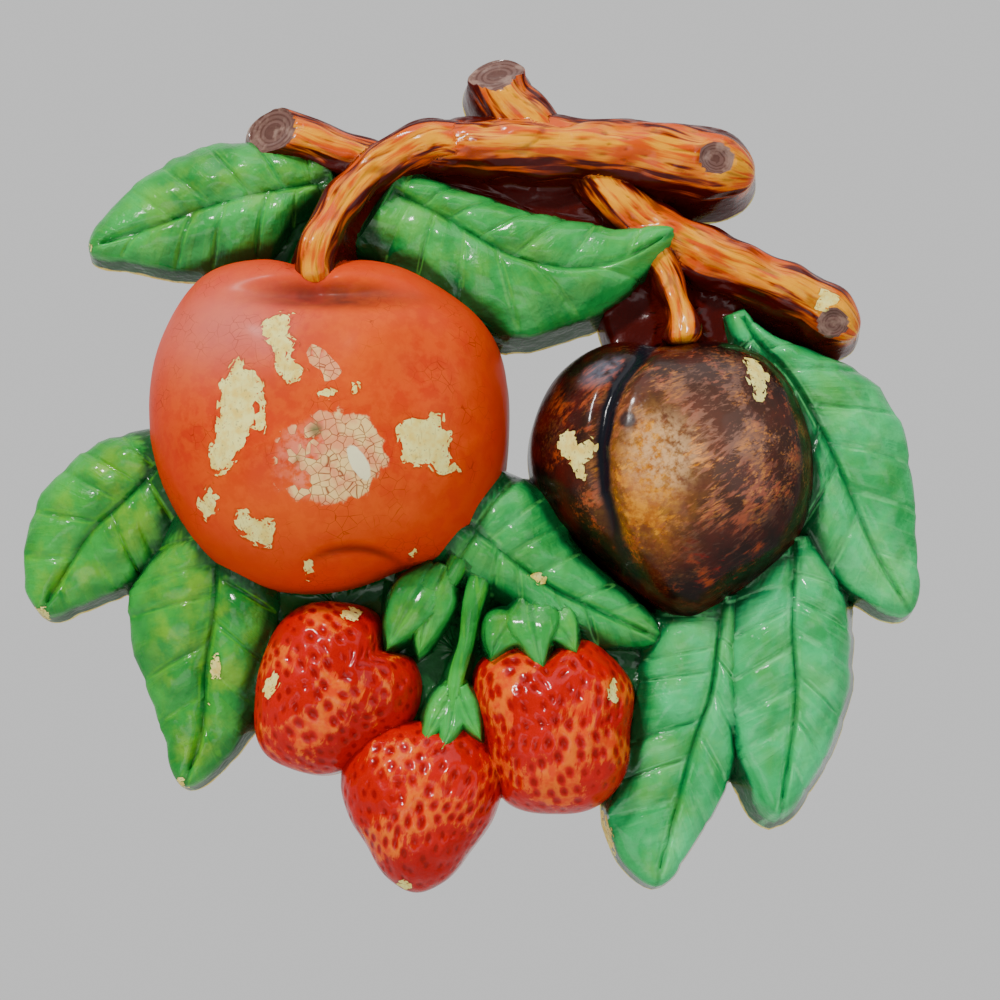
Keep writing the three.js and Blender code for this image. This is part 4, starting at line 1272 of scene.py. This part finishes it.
class Finishes:
    """The painted finishes of the plaque, which share five effects."""

    def __init__(self):
        self.chips = chip_group()
        self.varnish = varnish_group()
        self.crackle = crackle_group()
        self.brush = dry_brush_group()
        self.grain = grain_group()

    def brushed(self, w, place, turn, load, scale=900.0):
        return w.use(self.brush, Place=place, Turn=turn, Load=load, Scale=scale)["Left"]

    def painted(self, name, colour_of, bump=0.5, coat=0.6, gloss=0.12, body=0.0, sheen=0.12):
        """A painted finish: colour_of(wiring, place) gives the paint's colour and its own relief."""
        material = bpy.data.materials.new(name)
        material.use_nodes = True
        material.node_tree.nodes.clear()
        w = Wiring(material.node_tree)
        place = w.place()
        colour, relief = colour_of(w, place)
        chip = w.use(self.chips, Place=place, Raggedness=CHIP_RAGGEDNESS)
        # Paint stops short of the back edge
        depth = w.plus(w.parts(place)[1], w.stray(w.noise(place, 220.0, 1.0), 0.0022))
        back = w.ease(depth, -0.0011, -0.0006)
        soiled = w.mix(1.0, colour, paint(120, 110, 95), "MULTIPLY")
        colour = w.mix(w.times(chip["Rim"], 0.35), colour, soiled)
        bare = w.math("MAXIMUM", chip["Bare"], back)
        colour = w.mix(bare, colour, chip["Plaster"])
        relief = w.minus(relief, w.times(bare, 0.9))
        film = w.use(self.varnish, Place=place, Strength=bump, Relief=relief)
        dullness = w.plus(w.times(bare, 0.35), body)
        rough = w.math("ADD", film["Roughness"], dullness, clamp=True)
        shader = w.node(
            "ShaderNodeBsdfPrincipled",
            Base_Color=colour,
            Roughness=rough,
            Normal=film["Normal"],
            Specular_IOR_Level=sheen,
            Coat_Weight=w.times(w.minus(1.0, bare), coat),
            Coat_Roughness=gloss,
            Coat_IOR=1.4,
            IOR=1.5,
        )
        w.node("ShaderNodeOutputMaterial", Surface=shader.outputs[0])
        return material

    def plaster(self, name):
        material = bpy.data.materials.new(name)
        material.use_nodes = True
        material.node_tree.nodes.clear()
        w = Wiring(material.node_tree)
        place = w.place()
        mottle = w.ease(w.noise(place, 90.0, 5.0, 0.6), 0.35, 0.7)
        colour = w.mix(mottle, paint(232, 226, 208), paint(205, 194, 168))
        pores = w.node("ShaderNodeTexVoronoi", Vector=place, Scale=240.0)
        hole = w.ease(pores.outputs["Distance"], 0.16, 0.05)
        colour = w.mix(w.times(hole, 0.5), colour, paint(150, 138, 112))
        height = w.minus(w.times(w.noise(place, 500.0, 4.0), 0.3), hole)
        bump = w.node("ShaderNodeBump", Strength=0.5, Distance=0.0006, Height=height)
        shader = w.node("ShaderNodeBsdfPrincipled", Base_Color=colour, Roughness=0.86, IOR=1.45)
        w.feed(shader.inputs["Normal"], bump.outputs[0])
        w.node("ShaderNodeOutputMaterial", Surface=shader.outputs[0])
        return material

    def apple(self, w, place):
        deep_orange = paint(212, 50, 0)
        orange = paint(224, 78, 0)
        light_orange = paint(240, 100, 0)
        pink = paint(214, 124, 114)
        dark_brown = paint(66, 38, 38)
        cloud = w.ease(w.noise(place, 38.0, 3.0), 0.35, 0.65)
        colour = w.mix(cloud, deep_orange, orange)
        dabs = w.ease(w.noise(place, 330.0, 3.0, 0.6), 0.4, 0.62)
        colour = w.mix(w.times(dabs, 0.35), colour, light_orange)
        colour = w.mix(w.ease(w.field("share"), 0.66, 1.0, 0.0, 0.8), colour, paint(214, 46, 0))
        # Painted reflection: a pink sheen of soft light over the apple's upper left
        colour = w.mix(w.times(w.field("pink_sheen"), 0.62), colour, pink)
        shadow = w.times(w.field("stem_shadow"), w.ease(w.noise(place, 150.0, 3.0), 0.25, 0.7, 0.6, 1.0))
        colour = w.mix(w.times(shadow, 0.85), colour, dark_brown)
        # Painted shade: the crease of the blossom fold is darkened
        colour = w.mix(w.times(w.field("mark"), 0.75), colour, paint(96, 8, 0))
        aged = w.ease(w.noise(place, 90.0, 3.0), 0.48, 0.64)
        fine = w.times(w.use(self.crackle, Place=place, Scale=420.0, Width=0.03)["Cracks"], aged)
        colour = w.mix(w.times(fine, 0.55), colour, paint(110, 14, 0))
        colour, cracks = self.crackled_patch(w, place, colour)
        colour = w.mix(w.times(w.field("smudge"), 0.85), colour, paint(88, 104, 66))
        return colour, w.plus(w.times(cracks, -0.5), w.times(dabs, 0.12))

    def crackled_patch(self, w, place, colour):
        """The patch on the apple: a pink bloom on its left, cracked cream flakes on its right."""
        cream = paint(255, 218, 140)
        dull_cream = paint(244, 160, 108)
        palest = paint(250, 250, 200)
        ragged = w.stray(w.noise(place, 300.0, 4.0), 0.6)
        depth = w.plus(w.field("crackled_patch"), ragged)
        broken = w.use(self.crackle, Place=place, Scale=560.0, Width=0.06)
        side = w.plus(w.parts(place)[0], w.stray(broken["Chance"], 0.012))
        creamy = w.ease(side, -0.0365, -0.0355)
        bloom = w.times(w.ease(depth, 1.05, 0.6), w.ease(w.noise(place, 420.0, 4.0, 0.65), 0.36, 0.6))
        colour = w.mix(w.times(bloom, 0.85), colour, paint(244, 136, 104))
        flakes = w.times(w.ease(depth, 1.0, 0.92), creamy)
        old = w.mix(w.ease(w.noise(place, 200.0, 3.0), 0.38, 0.62), cream, dull_cream)
        pale = w.field("pale_flake")
        old = w.mix(w.ease(w.plus(pale, ragged), 1.1, 0.95, 0.0, 0.95), old, palest)
        cracks = w.times(broken["Cracks"], w.ease(pale, 0.95, 1.1))
        old = w.mix(w.times(cracks, 0.9), old, paint(126, 30, 10))
        colour = w.mix(w.times(flakes, 0.95), colour, old)
        return colour, w.times(cracks, flakes)

    def plum(self, w, place):
        share = w.field("share")
        haze = w.field("haze")
        black_brown = paint(20, 3, 4)
        red_brown = paint(66, 9, 5)
        dark = w.mix(w.ease(w.noise(place, 120.0, 4.0), 0.42, 0.7), black_brown, red_brown)
        strokes = self.brushed(w, place, 0.65, 0.5)
        crossing = self.brushed(w, place, 0.1, 0.44, 1500.0)
        inside = w.ease(share, 0.95, 0.75)
        # Brown dragged over the dark ground, then a warm grey haze in the middle
        patches = w.ease(w.noise(place, 150.0, 4.0, 0.6), 0.46, 0.62)
        warm = w.times(patches, strokes, w.ease(share, 0.97, 0.8))
        colour = w.mix(w.times(warm, 0.6), dark, paint(186, 70, 6))
        laid = w.ease(w.math("MAXIMUM", strokes, crossing), 0.0, 1.0, 0.3, 0.85)
        colour = w.mix(w.times(haze, inside, laid), colour, paint(156, 112, 94))
        # Thin bright scratches of a dry brush
        thin = self.brushed(w, place, 0.45, 0.44, 1900.0)
        thin = w.times(thin, haze, w.ease(w.noise(place, 70.0), 0.38, 0.54))
        colour = w.mix(w.times(thin, 0.85), colour, paint(242, 154, 74))
        # Painted reflection: a cool sheen of the sky across the top of the small lobe
        sky_reflection = w.times(w.ease(w.field("cool_sheen"), 1.1, 0.2), w.ease(w.noise(place, 300.0, 3.0), 0.3, 0.6))
        colour = w.mix(w.times(sky_reflection, 0.5), colour, paint(128, 132, 150))
        colour = self.plum_gold(w, place, colour, inside)
        glow = w.times(w.field("tip_glow"), self.brushed(w, place, -0.3, 0.4))
        colour = w.mix(w.times(glow, 0.7), colour, paint(140, 14, 8))
        colour = w.mix(w.ease(w.field("mark"), 0.3, 0.75), colour, paint(20, 22, 30))
        colour = w.mix(w.ease(w.field("dark_spot"), 1.2, 0.7, 0.0, 0.85), colour, paint(34, 32, 38))
        return colour, w.times(strokes, 0.25)

    def plum_gold(self, w, place, colour, inside):
        """Ochre beside the plum's suture, paler where it is thickest."""
        gold = w.field("gold")
        dragged = self.brushed(w, place, 0.6, w.plus(w.times(gold, 0.5), 0.22))
        airy = w.times(gold, w.ease(w.noise(place, 260.0, 4.0), 0.3, 0.7, 0.45, 1.0))
        laid = w.times(w.math("MAXIMUM", dragged, airy), inside)
        mottle = w.ease(w.noise(place, 420.0, 4.0, 0.7), 0.35, 0.65)
        ochre = w.mix(mottle, paint(178, 98, 4), paint(226, 150, 30))
        colour = w.mix(w.times(laid, 0.9), colour, ochre)
        broken = w.ease(w.noise(place, 520.0, 4.0, 0.7), 0.36, 0.6)
        bloom = w.times(w.ease(w.field("bloom"), 1.25, 0.3), broken)
        return w.mix(w.times(bloom, 0.7), colour, paint(236, 192, 140))

    def strawberry(self, w, place):
        deep_red = paint(184, 0, 0)
        bright_red = paint(206, 6, 0)
        red = w.mix(w.ease(w.noise(place, 60.0, 3.0), 0.35, 0.65), deep_red, bright_red)
        pit = w.field("mark")
        brush = self.brushed(w, place, 1.35, w.plus(w.times(w.field("brushed"), 0.46), 0.27))
        raised = w.ease(pit, 0.38, 0.04)
        mottle = w.ease(w.noise(place, 420.0, 3.0, 0.6), 0.35, 0.62)
        orange = w.mix(mottle, paint(238, 66, 0), paint(248, 112, 0))
        colour = w.mix(w.times(brush, raised, 0.92), red, orange)
        colour = w.mix(w.times(w.ease(pit, 0.3, 0.8), 0.8), colour, paint(138, 0, 0))
        return colour, w.times(brush, 0.15)

    def leaf(self, w, place):
        blue = w.field("blue")
        shade = w.ease(w.noise(place, 70.0, 3.0), 0.3, 0.7)
        grass_green = w.mix(shade, paint(22, 124, 44), paint(60, 180, 68))
        sea_green = w.mix(shade, paint(14, 166, 80), paint(48, 218, 132))
        colour = w.mix(blue, grass_green, sea_green)
        strokes = w.use(self.grain, Place=place, Along=0.08, Across=0.5, Load=0.46)["Left"]
        lighter = w.mix(blue, paint(88, 186, 30), paint(114, 234, 150))
        colour = w.mix(w.times(strokes, 0.2), colour, lighter)
        warm = w.ease(w.noise(place, 110.0, 4.0, 0.6), 0.42, 0.66)
        warm = w.times(warm, w.field("yellow"), w.ease(w.field("share"), 0.95, 0.5))
        colour = w.mix(w.times(warm, 0.6), colour, paint(150, 200, 14))
        # Painted shade: the green darkens where the surface lies below the ground round it
        colour = w.mix(w.ease(w.field("recess"), 0.2, 2.6, 0.0, 0.9), colour, paint(2, 58, 26))
        # Veins: a dark line, painted shade in the groove, with a lighter lip that the brush caught, which
        # also stands in for a highlight on the groove's edge
        vein = w.field("mark")
        lip = w.times(w.ease(vein, 0.04, 0.2), w.ease(vein, 0.55, 0.3))
        caught = w.ease(w.noise(place, 200.0, 3.0), 0.42, 0.58)
        colour = w.mix(w.times(lip, caught, 0.45), colour, lighter)
        colour = w.mix(w.times(w.ease(vein, 0.35, 0.95), 0.32), colour, paint(4, 84, 26))
        return colour, w.times(strokes, 0.25)

    def bark(self, w, place):
        rust = paint(220, 82, 0)
        dark_red = paint(72, 5, 1)
        streaks = w.use(self.grain, Place=place, Along=0.045, Across=0.42, Load=0.56)
        side = w.plus(w.field("share"), w.stray(streaks["Strokes"], 2.6))
        base = w.mix(w.ease(side, 0.4, 0.85), rust, dark_red)
        bright = w.times(streaks["Left"], w.ease(side, 0.7, 0.3))
        colour = w.mix(w.times(bright, 0.95), base, paint(255, 172, 0))
        # Painted shade: the bark darkens where the surface lies below the ground round it
        colour = w.mix(w.ease(w.field("recess"), 0.6, 3.4, 0.0, 0.94), colour, paint(76, 6, 1))
        colour = w.mix(w.times(w.ease(w.field("mark"), 0.3, 1.0), 0.5), colour, paint(70, 10, 2))
        # The cut faces are grey brown, with rings
        cut = w.field("cut")
        rings = w.ease(w.math("SINE", w.times(cut, 34.0)), -0.2, 0.8, 0.0, 0.55)
        face = w.mix(rings, paint(116, 84, 76), paint(70, 34, 26))
        worn = w.ease(w.noise(place, 300.0, 3.0), 0.45, 0.65, 0.0, 0.8)
        face = w.mix(worn, face, paint(158, 126, 112))
        colour = w.mix(w.ease(cut, 0.05, 0.2), colour, face)
        return colour, w.times(bright, 0.2)


# The casting


def cast_inputs(face):
    """The named inputs of the casting's tree, with their sizes."""
    face.new_socket("Geometry", in_out="OUTPUT", socket_type="NodeSocketGeometry")
    face.new_socket("Geometry", in_out="INPUT", socket_type="NodeSocketGeometry")
    face.new_socket("Forms", in_out="INPUT", socket_type="NodeSocketCollection")
    sizes = (
        ("Back Block Size", BACK_BLOCK),
        ("Pocket Width", POCKET_WIDTH),
        ("Pocket Height", POCKET_HEIGHT),
        ("Pocket Depth", POCKET_DEPTH),
        ("Lump Height", LUMP_HEIGHT),
        ("Lump Size", LUMP_SIZE),
    )
    for label, size in sizes:
        socket = face.new_socket(label, in_out="INPUT", socket_type="NodeSocketFloat")
        socket.default_value = size * MM
    for label, value in (("Fillet Rounds", FILLET_ROUNDS), ("Seed", LUMP_SEED)):
        socket = face.new_socket(label, in_out="INPUT", socket_type="NodeSocketInt")
        socket.default_value = value


def rounded_seams(w, mesh, position, rounds):
    """Rounds the seams where forms meet, but only in depth, so that they keep their line from the front."""
    bend = w.node("GeometryNodeInputMeshEdgeAngle").outputs["Signed Angle"]
    hollow = w.node("FunctionNodeCompare", {"data_type": "FLOAT", "operation": "LESS_THAN"})
    w.feed(hollow.inputs[0], bend)
    w.feed(hollow.inputs[1], -SEAM_ANGLE)
    spread = w.node("GeometryNodeBlurAttribute", {"data_type": "FLOAT"}, Iterations=2)
    w.feed(spread.inputs[0], hollow.outputs[0])
    near = w.math("MULTIPLY", spread.outputs[0], 3.0, clamp=True)
    calm = w.node("GeometryNodeBlurAttribute", {"data_type": "FLOAT_VECTOR"}, Iterations=rounds)
    vector_in = [socket for socket in calm.inputs if socket.type == "VECTOR"][0]
    vector_out = [socket for socket in calm.outputs if socket.type == "VECTOR" and socket.enabled][0]
    w.feed(vector_in, position)
    still = w.parts(position)
    deepened = w.joined(X=still[0], Y=w.parts(vector_out)[1], Z=still[2])
    moved = w.node("ShaderNodeMix", {"data_type": "VECTOR"})
    w.feed(moved.inputs[0], near)
    w.feed(moved.inputs[4], position)
    w.feed(moved.inputs[5], deepened)
    return w.node("GeometryNodeSetPosition", Geometry=mesh, Position=moved.outputs[1]).outputs[0]


def hand_smoothed(w, mesh, position, given):
    """Plaster smoothed by hand is never quite even."""
    size = w.joined(X=given["Lump Size"], Y=given["Lump Size"], Z=given["Lump Size"])
    lumps = w.node("ShaderNodeTexNoise", {"noise_dimensions": "4D"}, W=given["Seed"], Scale=1.0, Detail=2.0)
    w.feed(lumps.inputs["Vector"], w.vectors("DIVIDE", position, size))
    push = w.stray(lumps.outputs[0], given["Lump Height"])
    along = w.node("ShaderNodeVectorMath", {"operation": "SCALE"}, Scale=push)
    w.feed(along.inputs[0], w.node("GeometryNodeInputNormal").outputs[0])
    return w.node("GeometryNodeSetPosition", Geometry=mesh, Offset=along.outputs[0]).outputs[0]


def cutting_block(w, size, place, bare):
    block = w.node("GeometryNodeMeshCube", Size=size).outputs["Mesh"]
    moved = w.node("GeometryNodeTransform", Geometry=block, Translation=place).outputs[0]
    return w.node("GeometryNodeSetMaterial", Geometry=moved, Material=bare).outputs[0]


def join_tree(bare):
    """Joins the forms, rounds their seams, and cuts the back flat and the nail pocket in."""
    tree = bpy.data.node_groups.new("Cast Relief", "GeometryNodeTree")
    cast_inputs(tree.interface)
    w = Wiring(tree)
    given = tree.nodes.new("NodeGroupInput").outputs
    result = tree.nodes.new("NodeGroupOutput")
    forms = w.node("GeometryNodeCollectionInfo", Collection=given["Forms"], Separate_Children=True)
    union = w.node("GeometryNodeMeshBoolean", {"operation": "UNION", "solver": "MANIFOLD"})
    w.feed(union.inputs["Mesh 2"], forms.outputs[0])
    position = w.node("GeometryNodeInputPosition").outputs[0]
    rounded = rounded_seams(w, union.outputs[0], position, given["Fillet Rounds"])
    uneven = hand_smoothed(w, rounded, position, given)

    side = given["Back Block Size"]
    behind_back = w.joined(Y=w.times(side, 0.5))
    back_block = cutting_block(w, w.joined(X=side, Y=side, Z=side), behind_back, bare)
    height = given["Pocket Height"]
    pocket_size = w.joined(X=given["Pocket Width"], Y=w.times(given["Pocket Depth"], 2.0), Z=height)
    pocket_block = cutting_block(w, pocket_size, w.joined(Z=w.times(height, -0.5)), bare)
    cut = w.node("GeometryNodeMeshBoolean", {"operation": "DIFFERENCE", "solver": "MANIFOLD"})
    w.feed(cut.inputs["Mesh 1"], uneven)
    for block in (back_block, pocket_block):
        w.feed(cut.inputs["Mesh 2"], block)

    # The cut faces are bare plaster
    real = w.node("GeometryNodeRealizeInstances", Geometry=cut.outputs[0])
    behind = w.node("FunctionNodeCompare", {"data_type": "FLOAT", "operation": "GREATER_THAN"})
    w.feed(behind.inputs[0], w.parts(position)[1])
    w.feed(behind.inputs[1], -BACK_TOLERANCE * MM)
    back = w.node("GeometryNodeSetMaterial", Geometry=real.outputs[0], Material=bare)
    w.feed(back.inputs["Selection"], behind.outputs[0])
    w.feed(result.inputs[0], back.outputs[0])
    return tree


def set_input(modifier, label, value):
    for item in modifier.node_group.interface.items_tree:
        if item.item_type == "SOCKET" and item.in_out == "INPUT" and item.name == label:
            modifier[item.identifier] = value


def build_casting(forms, materials):
    seed_mesh = bpy.data.meshes.new("casting")
    for material in materials.values():
        seed_mesh.materials.append(material)
    holder = bpy.data.objects.new("casting", seed_mesh)
    bpy.context.scene.collection.objects.link(holder)
    modifier = holder.modifiers.new("Cast Relief", "NODES")
    modifier.node_group = join_tree(materials["plaster"])
    set_input(modifier, "Forms", forms.collection)
    bpy.context.view_layer.update()
    graph = bpy.context.evaluated_depsgraph_get()
    mesh = bpy.data.meshes.new_from_object(holder.evaluated_get(graph), depsgraph=graph)
    bpy.data.objects.remove(holder)
    mesh.name = "fruit_plaque"
    plaque = bpy.data.objects.new("fruit_plaque", mesh)
    bpy.context.scene.collection.objects.link(plaque)
    return plaque


def outline_gap(x, z, outline):
    """Distance to a closed outline, negative inside."""
    corners = np.asarray(outline, float)
    nearest = np.full(x.shape, 1e9)
    inside = np.zeros(x.shape, bool)
    for (ax, az), (bx, bz) in zip(corners, np.roll(corners, -1, axis=0)):
        dx, dz = bx - ax, bz - az
        t = np.clip(((x - ax) * dx + (z - az) * dz) / (dx * dx + dz * dz), 0, 1)
        nearest = np.minimum(nearest, np.hypot(x - ax - t * dx, z - az - t * dz))
        crosses = (az > z) != (bz > z)
        level = np.where(az == bz, 1e-9, bz - az)
        inside ^= crosses & (x < (bx - ax) * (z - az) / level + ax)
    return np.where(inside, -nearest, nearest)


def hollow_map(x, z, rise):
    """How far each point lies below the ground round it, in millimetres."""
    low = np.array([x.min(), z.min()]) - HOLLOW_MARGIN
    column = ((x - low[0]) / HOLLOW_CELL).astype(int)
    row = ((z - low[1]) / HOLLOW_CELL).astype(int)
    grid = np.zeros((row.max() + HOLLOW_MARGIN, column.max() + HOLLOW_MARGIN))
    np.maximum.at(grid, (row, column), rise)
    # Empty cells take the height of their neighbours
    for _ in range(2):
        grown = grid.copy()
        for axis in (0, 1):
            for shift in (-1, 1):
                grown = np.maximum(grown, np.where(grid > 0, grid, np.roll(grid, shift, axis)))
        grid = grown
    filled = (grid > 0).astype(float)
    offsets = np.arange(-HOLLOW_REACH, HOLLOW_REACH + 1)
    kernel = np.exp(-0.5 * (offsets * HOLLOW_CELL / HOLLOW_BLUR) ** 2)
    kernel /= kernel.sum()

    def blur(values):
        for axis in (0, 1):
            values = sum(weight * np.roll(values, offset, axis) for offset, weight in zip(offsets, kernel))
        return values

    around = blur(grid * filled) / np.maximum(blur(filled), 1e-3)
    return around[row, column] - rise


def apple_areas(x, z):
    """The apple's coloured areas: tints from 0 to 1, and patches as a distance that is 1 at the edge."""
    scuff = outline_gap(x, z, APPLE_SCUFF)
    smudge = np.minimum(ellipse_depth(x, z, *GREEN_SMUDGE), ellipse_depth(x, z, *DARK_SPOT))
    return {
        "stem_shadow": np.exp(-ellipse_depth(x, z, *STEM_SHADOW) ** 4),
        "pink_sheen": np.exp(-ellipse_depth(x, z, *PINK_SHEEN) ** 2),
        "crackled_patch": np.minimum(ellipse_depth(x, z, *CRACKLED_PATCH), 1 + scuff * 0.5),
        "pale_flake": ellipse_depth(x, z, *PALE_FLAKE),
        "smudge": np.exp(-smudge ** 4),
    }


def plum_areas(x, z):
    """The plum's coloured areas, given as the apple's are."""
    return {
        "gold": np.exp(-ellipse_depth(x, z, *PLUM_GOLD) ** 2.4),
        "haze": np.exp(-ellipse_depth(x, z, *PLUM_HAZE) ** 2),
        "tip_glow": np.exp(-ellipse_depth(x, z, *PLUM_TIP_GLOW) ** 2),
        "bloom": ellipse_depth(x, z, *PLUM_BLOOM),
        "dark_spot": ellipse_depth(x, z, *PLUM_SPOT),
        "cool_sheen": ellipse_depth(x, z, *PLUM_COOL_SHEEN),
    }


def strawberry_areas(x, z, share):
    """How much orange the brush left on the strawberries, from 0 to 1."""
    brushed = 0.6 * swell(x, z, 16, 16, 77) + 0.55 - 0.5 * share ** 3
    return {"brushed": np.clip(brushed, 0, 1)}


def nearest_laid(sources, places):
    """The fields that a finish's own forms laid out, each place taking those of the nearest corner."""
    points = np.concatenate([source[0] for source in sources])
    tree = KDTree(len(points))
    for i, point in enumerate(points):
        tree.insert(point, i)
    tree.balance()
    nearest = np.array([tree.find(place)[1] for place in places])
    laid = {}
    for field in LAID_FIELDS:
        values = np.concatenate([source[1].get(field, np.zeros(len(source[0]))) for source in sources])
        laid[field] = values[nearest]
    return laid


def read_numbers(items, label, count, kind):
    values = np.zeros(count, kind)
    items.foreach_get(label, values)
    return values


def paint_fields(plaque, forms, materials):
    """Works out on the joined surface the fields that the paint follows, one value a face corner."""
    mesh = plaque.data
    place = read_numbers(mesh.vertices, "co", 3 * len(mesh.vertices), float).reshape(-1, 3)
    x, z, rise = place[:, 0] / MM, place[:, 2] / MM, -place[:, 1] / MM
    face_material = read_numbers(mesh.polygons, "material_index", len(mesh.polygons), np.int32)
    face_corners = read_numbers(mesh.polygons, "loop_total", len(mesh.polygons), np.int32)
    corner_vertex = read_numbers(mesh.loops, "vertex_index", len(mesh.loops), np.int32)
    corner_material = np.repeat(face_material, face_corners)
    fields = {"recess": hollow_map(x, z, rise)[corner_vertex]}
    finish_of = {material.name: finish for finish, material in materials.items()}
    for index, material in enumerate(mesh.materials):
        finish = finish_of[material.name]
        if finish not in forms.lookup:
            continue
        at = np.flatnonzero(corner_material == index)
        mine, back = np.unique(corner_vertex[at], return_inverse=True)
        own_x, own_z = x[mine], z[mine]
        laid = nearest_laid(forms.lookup[finish], place[mine])
        gaps = [outline_gap(own_x, own_z, outline) for outline in CHIPS[finish]]
        laid["chip"] = np.minimum(NO_CHIP, np.min(gaps, axis=0))
        if finish == "apple":
            laid.update(apple_areas(own_x, own_z))
        elif finish == "plum":
            laid.update(plum_areas(own_x, own_z))
        elif finish == "strawberry":
            laid.update(strawberry_areas(own_x, own_z, laid["share"]))
        for field, values in laid.items():
            fields.setdefault(field, np.zeros(len(corner_vertex)))[at] = values[back]
    for field, values in fields.items():
        attribute = mesh.attributes.new(field, "FLOAT", "CORNER")
        attribute.data.foreach_set("value", values.astype(np.float32))


def build_forms(materials):
    forms = Forms(materials)
    add_fruit(forms, "apple", "apple", APPLE, apple_relief)
    add_fruit(forms, "plum", "plum", PLUM, plum_relief)
    for seed, (name, berry) in enumerate(BERRIES.items()):
        shape = {
            **berry,
            "widest": BERRY_WIDEST,
            "fullness": BERRY_FULLNESS,
            "steps": BERRY_STEPS,
            "rings": BERRY_RINGS,
        }
        add_fruit(forms, name, "strawberry", shape, berry_relief(berry, 40 + seed))
    for seed, (name, leaf) in enumerate(LEAVES.items()):
        add_leaf(forms, name, leaf, 100 + 10 * seed)
    for number, sepal in enumerate(SEPALS, start=1):
        add_sepal(forms, f"sepal {number}", sepal, 200 + number)
    for seed, (name, branch) in enumerate(BRANCHES.items()):
        add_branch(forms, name, "bark", branch, 300 + 10 * seed)
    for seed, (name, stalk) in enumerate(STALKS.items()):
        add_branch(forms, name, "leaf", stalk, 400 + 10 * seed, bark=0.25)
    for number, (finish, rise, outline) in enumerate(WEBS, start=1):
        add_web(forms, f"web {number}", finish, rise, outline, 500 + number)
    return forms


# Studio


def build_floor():
    half = FLOOR_HALF
    mesh = bpy.data.meshes.new("studio floor")
    corners = [(x, y, -FLOOR_DROP) for x, y in ((-half, -half), (half, -half), (half, half), (-half, half))]
    mesh.from_pydata(corners, [], [(0, 1, 2, 3)])
    material = bpy.data.materials.new("pale studio floor")
    material.use_nodes = True
    shader = material.node_tree.nodes["Principled BSDF"]
    shader.inputs["Base Color"].default_value = (0.78, 0.77, 0.75, 1)
    shader.inputs["Roughness"].default_value = 0.9
    mesh.materials.append(material)
    floor = bpy.data.objects.new("studio floor", mesh)
    bpy.context.scene.collection.objects.link(floor)
    return floor


def build_light(name, place, size, power, colour=(1, 1, 1)):
    data = bpy.data.lights.new(name, "AREA")
    data.shape = "RECTANGLE"
    data.size, data.size_y = size
    data.energy = power
    data.color = colour
    light = bpy.data.objects.new(name, data)
    bpy.context.scene.collection.objects.link(light)
    light.location = place
    light.rotation_euler = (Vector(LIT_MIDDLE) - Vector(place)).to_track_quat("-Z", "Y").to_euler()


def build_studio():
    world = bpy.data.worlds.new("pale studio")
    world.use_nodes = True
    w = Wiring(world.node_tree)
    behind = w.parts(w.node("ShaderNodeTexCoord").outputs["Generated"])[1]
    background = world.node_tree.nodes["Background"]
    background.inputs["Color"].default_value = (0.92, 0.92, 0.92, 1)
    w.feed(background.inputs["Strength"], w.ease(behind, -0.3, 0.8, FRONT_GLOW, BACK_GLOW))
    bpy.context.scene.world = world
    build_light("window key", (-0.5, -0.85, 0.75), (0.11, 0.13), 13.0, (1.0, 0.98, 0.95))
    build_light("overhead", (0.1, -0.35, 0.95), (1.1, 0.7), 4.5)
    build_light("right fill", (0.9, -0.8, 0.1), (0.7, 0.9), 3.0, (0.93, 0.97, 1.0))
    build_light("low fill", (-0.3, -1.0, -0.55), (0.9, 0.6), 4.0)


def build_camera():
    data = bpy.data.cameras.new("camera")
    data.sensor_width = SENSOR_WIDTH
    data.lens = SENSOR_WIDTH * CAMERA_AWAY / FRAME_WIDTH
    camera = bpy.data.objects.new("camera", data)
    bpy.context.scene.collection.objects.link(camera)
    rise = math.radians(CAMERA_RISE)
    aim = Vector(CAMERA_AIM) * MM
    away = Vector((0, -math.cos(rise), math.sin(rise))) * CAMERA_AWAY * MM
    camera.location = aim + away
    camera.rotation_euler = (-away).to_track_quat("-Z", "Y").to_euler()
    bpy.context.scene.camera = camera


def build_materials():
    finishes = Finishes()
    return {
        "apple": finishes.painted(
            "orange apple paint", finishes.apple, bump=0.4, coat=0.2, gloss=0.3, body=0.25, sheen=0.06,
        ),
        "plum": finishes.painted("dark plum paint", finishes.plum, bump=0.55, coat=0.35, sheen=0.04),
        "strawberry": finishes.painted(
            "red strawberry paint", finishes.strawberry, bump=0.7, coat=0.45, gloss=0.1, sheen=0.06,
        ),
        "leaf": finishes.painted("green leaf paint", finishes.leaf, bump=1.1, gloss=0.11),
        "bark": finishes.painted(
            "brown bark paint", finishes.bark, bump=0.7, coat=0.45, gloss=0.14, sheen=0.06,
        ),
        "plaster": finishes.plaster("bare plaster"),
    }


materials = build_materials()

casting_forms = build_forms(materials)
fruit_plaque = build_casting(casting_forms, materials)
paint_fields(fruit_plaque, casting_forms, materials)
fruit_plaque.data.shade_smooth()
fruit_plaque.data.set_sharp_from_angle(angle=math.radians(CREASE_ANGLE))
for form in list(casting_forms.collection.objects):
    bpy.data.objects.remove(form)
bpy.data.collections.remove(casting_forms.collection)

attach(fruit_plaque, "root")
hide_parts("plaque")

build_floor()
build_studio()
build_camera()
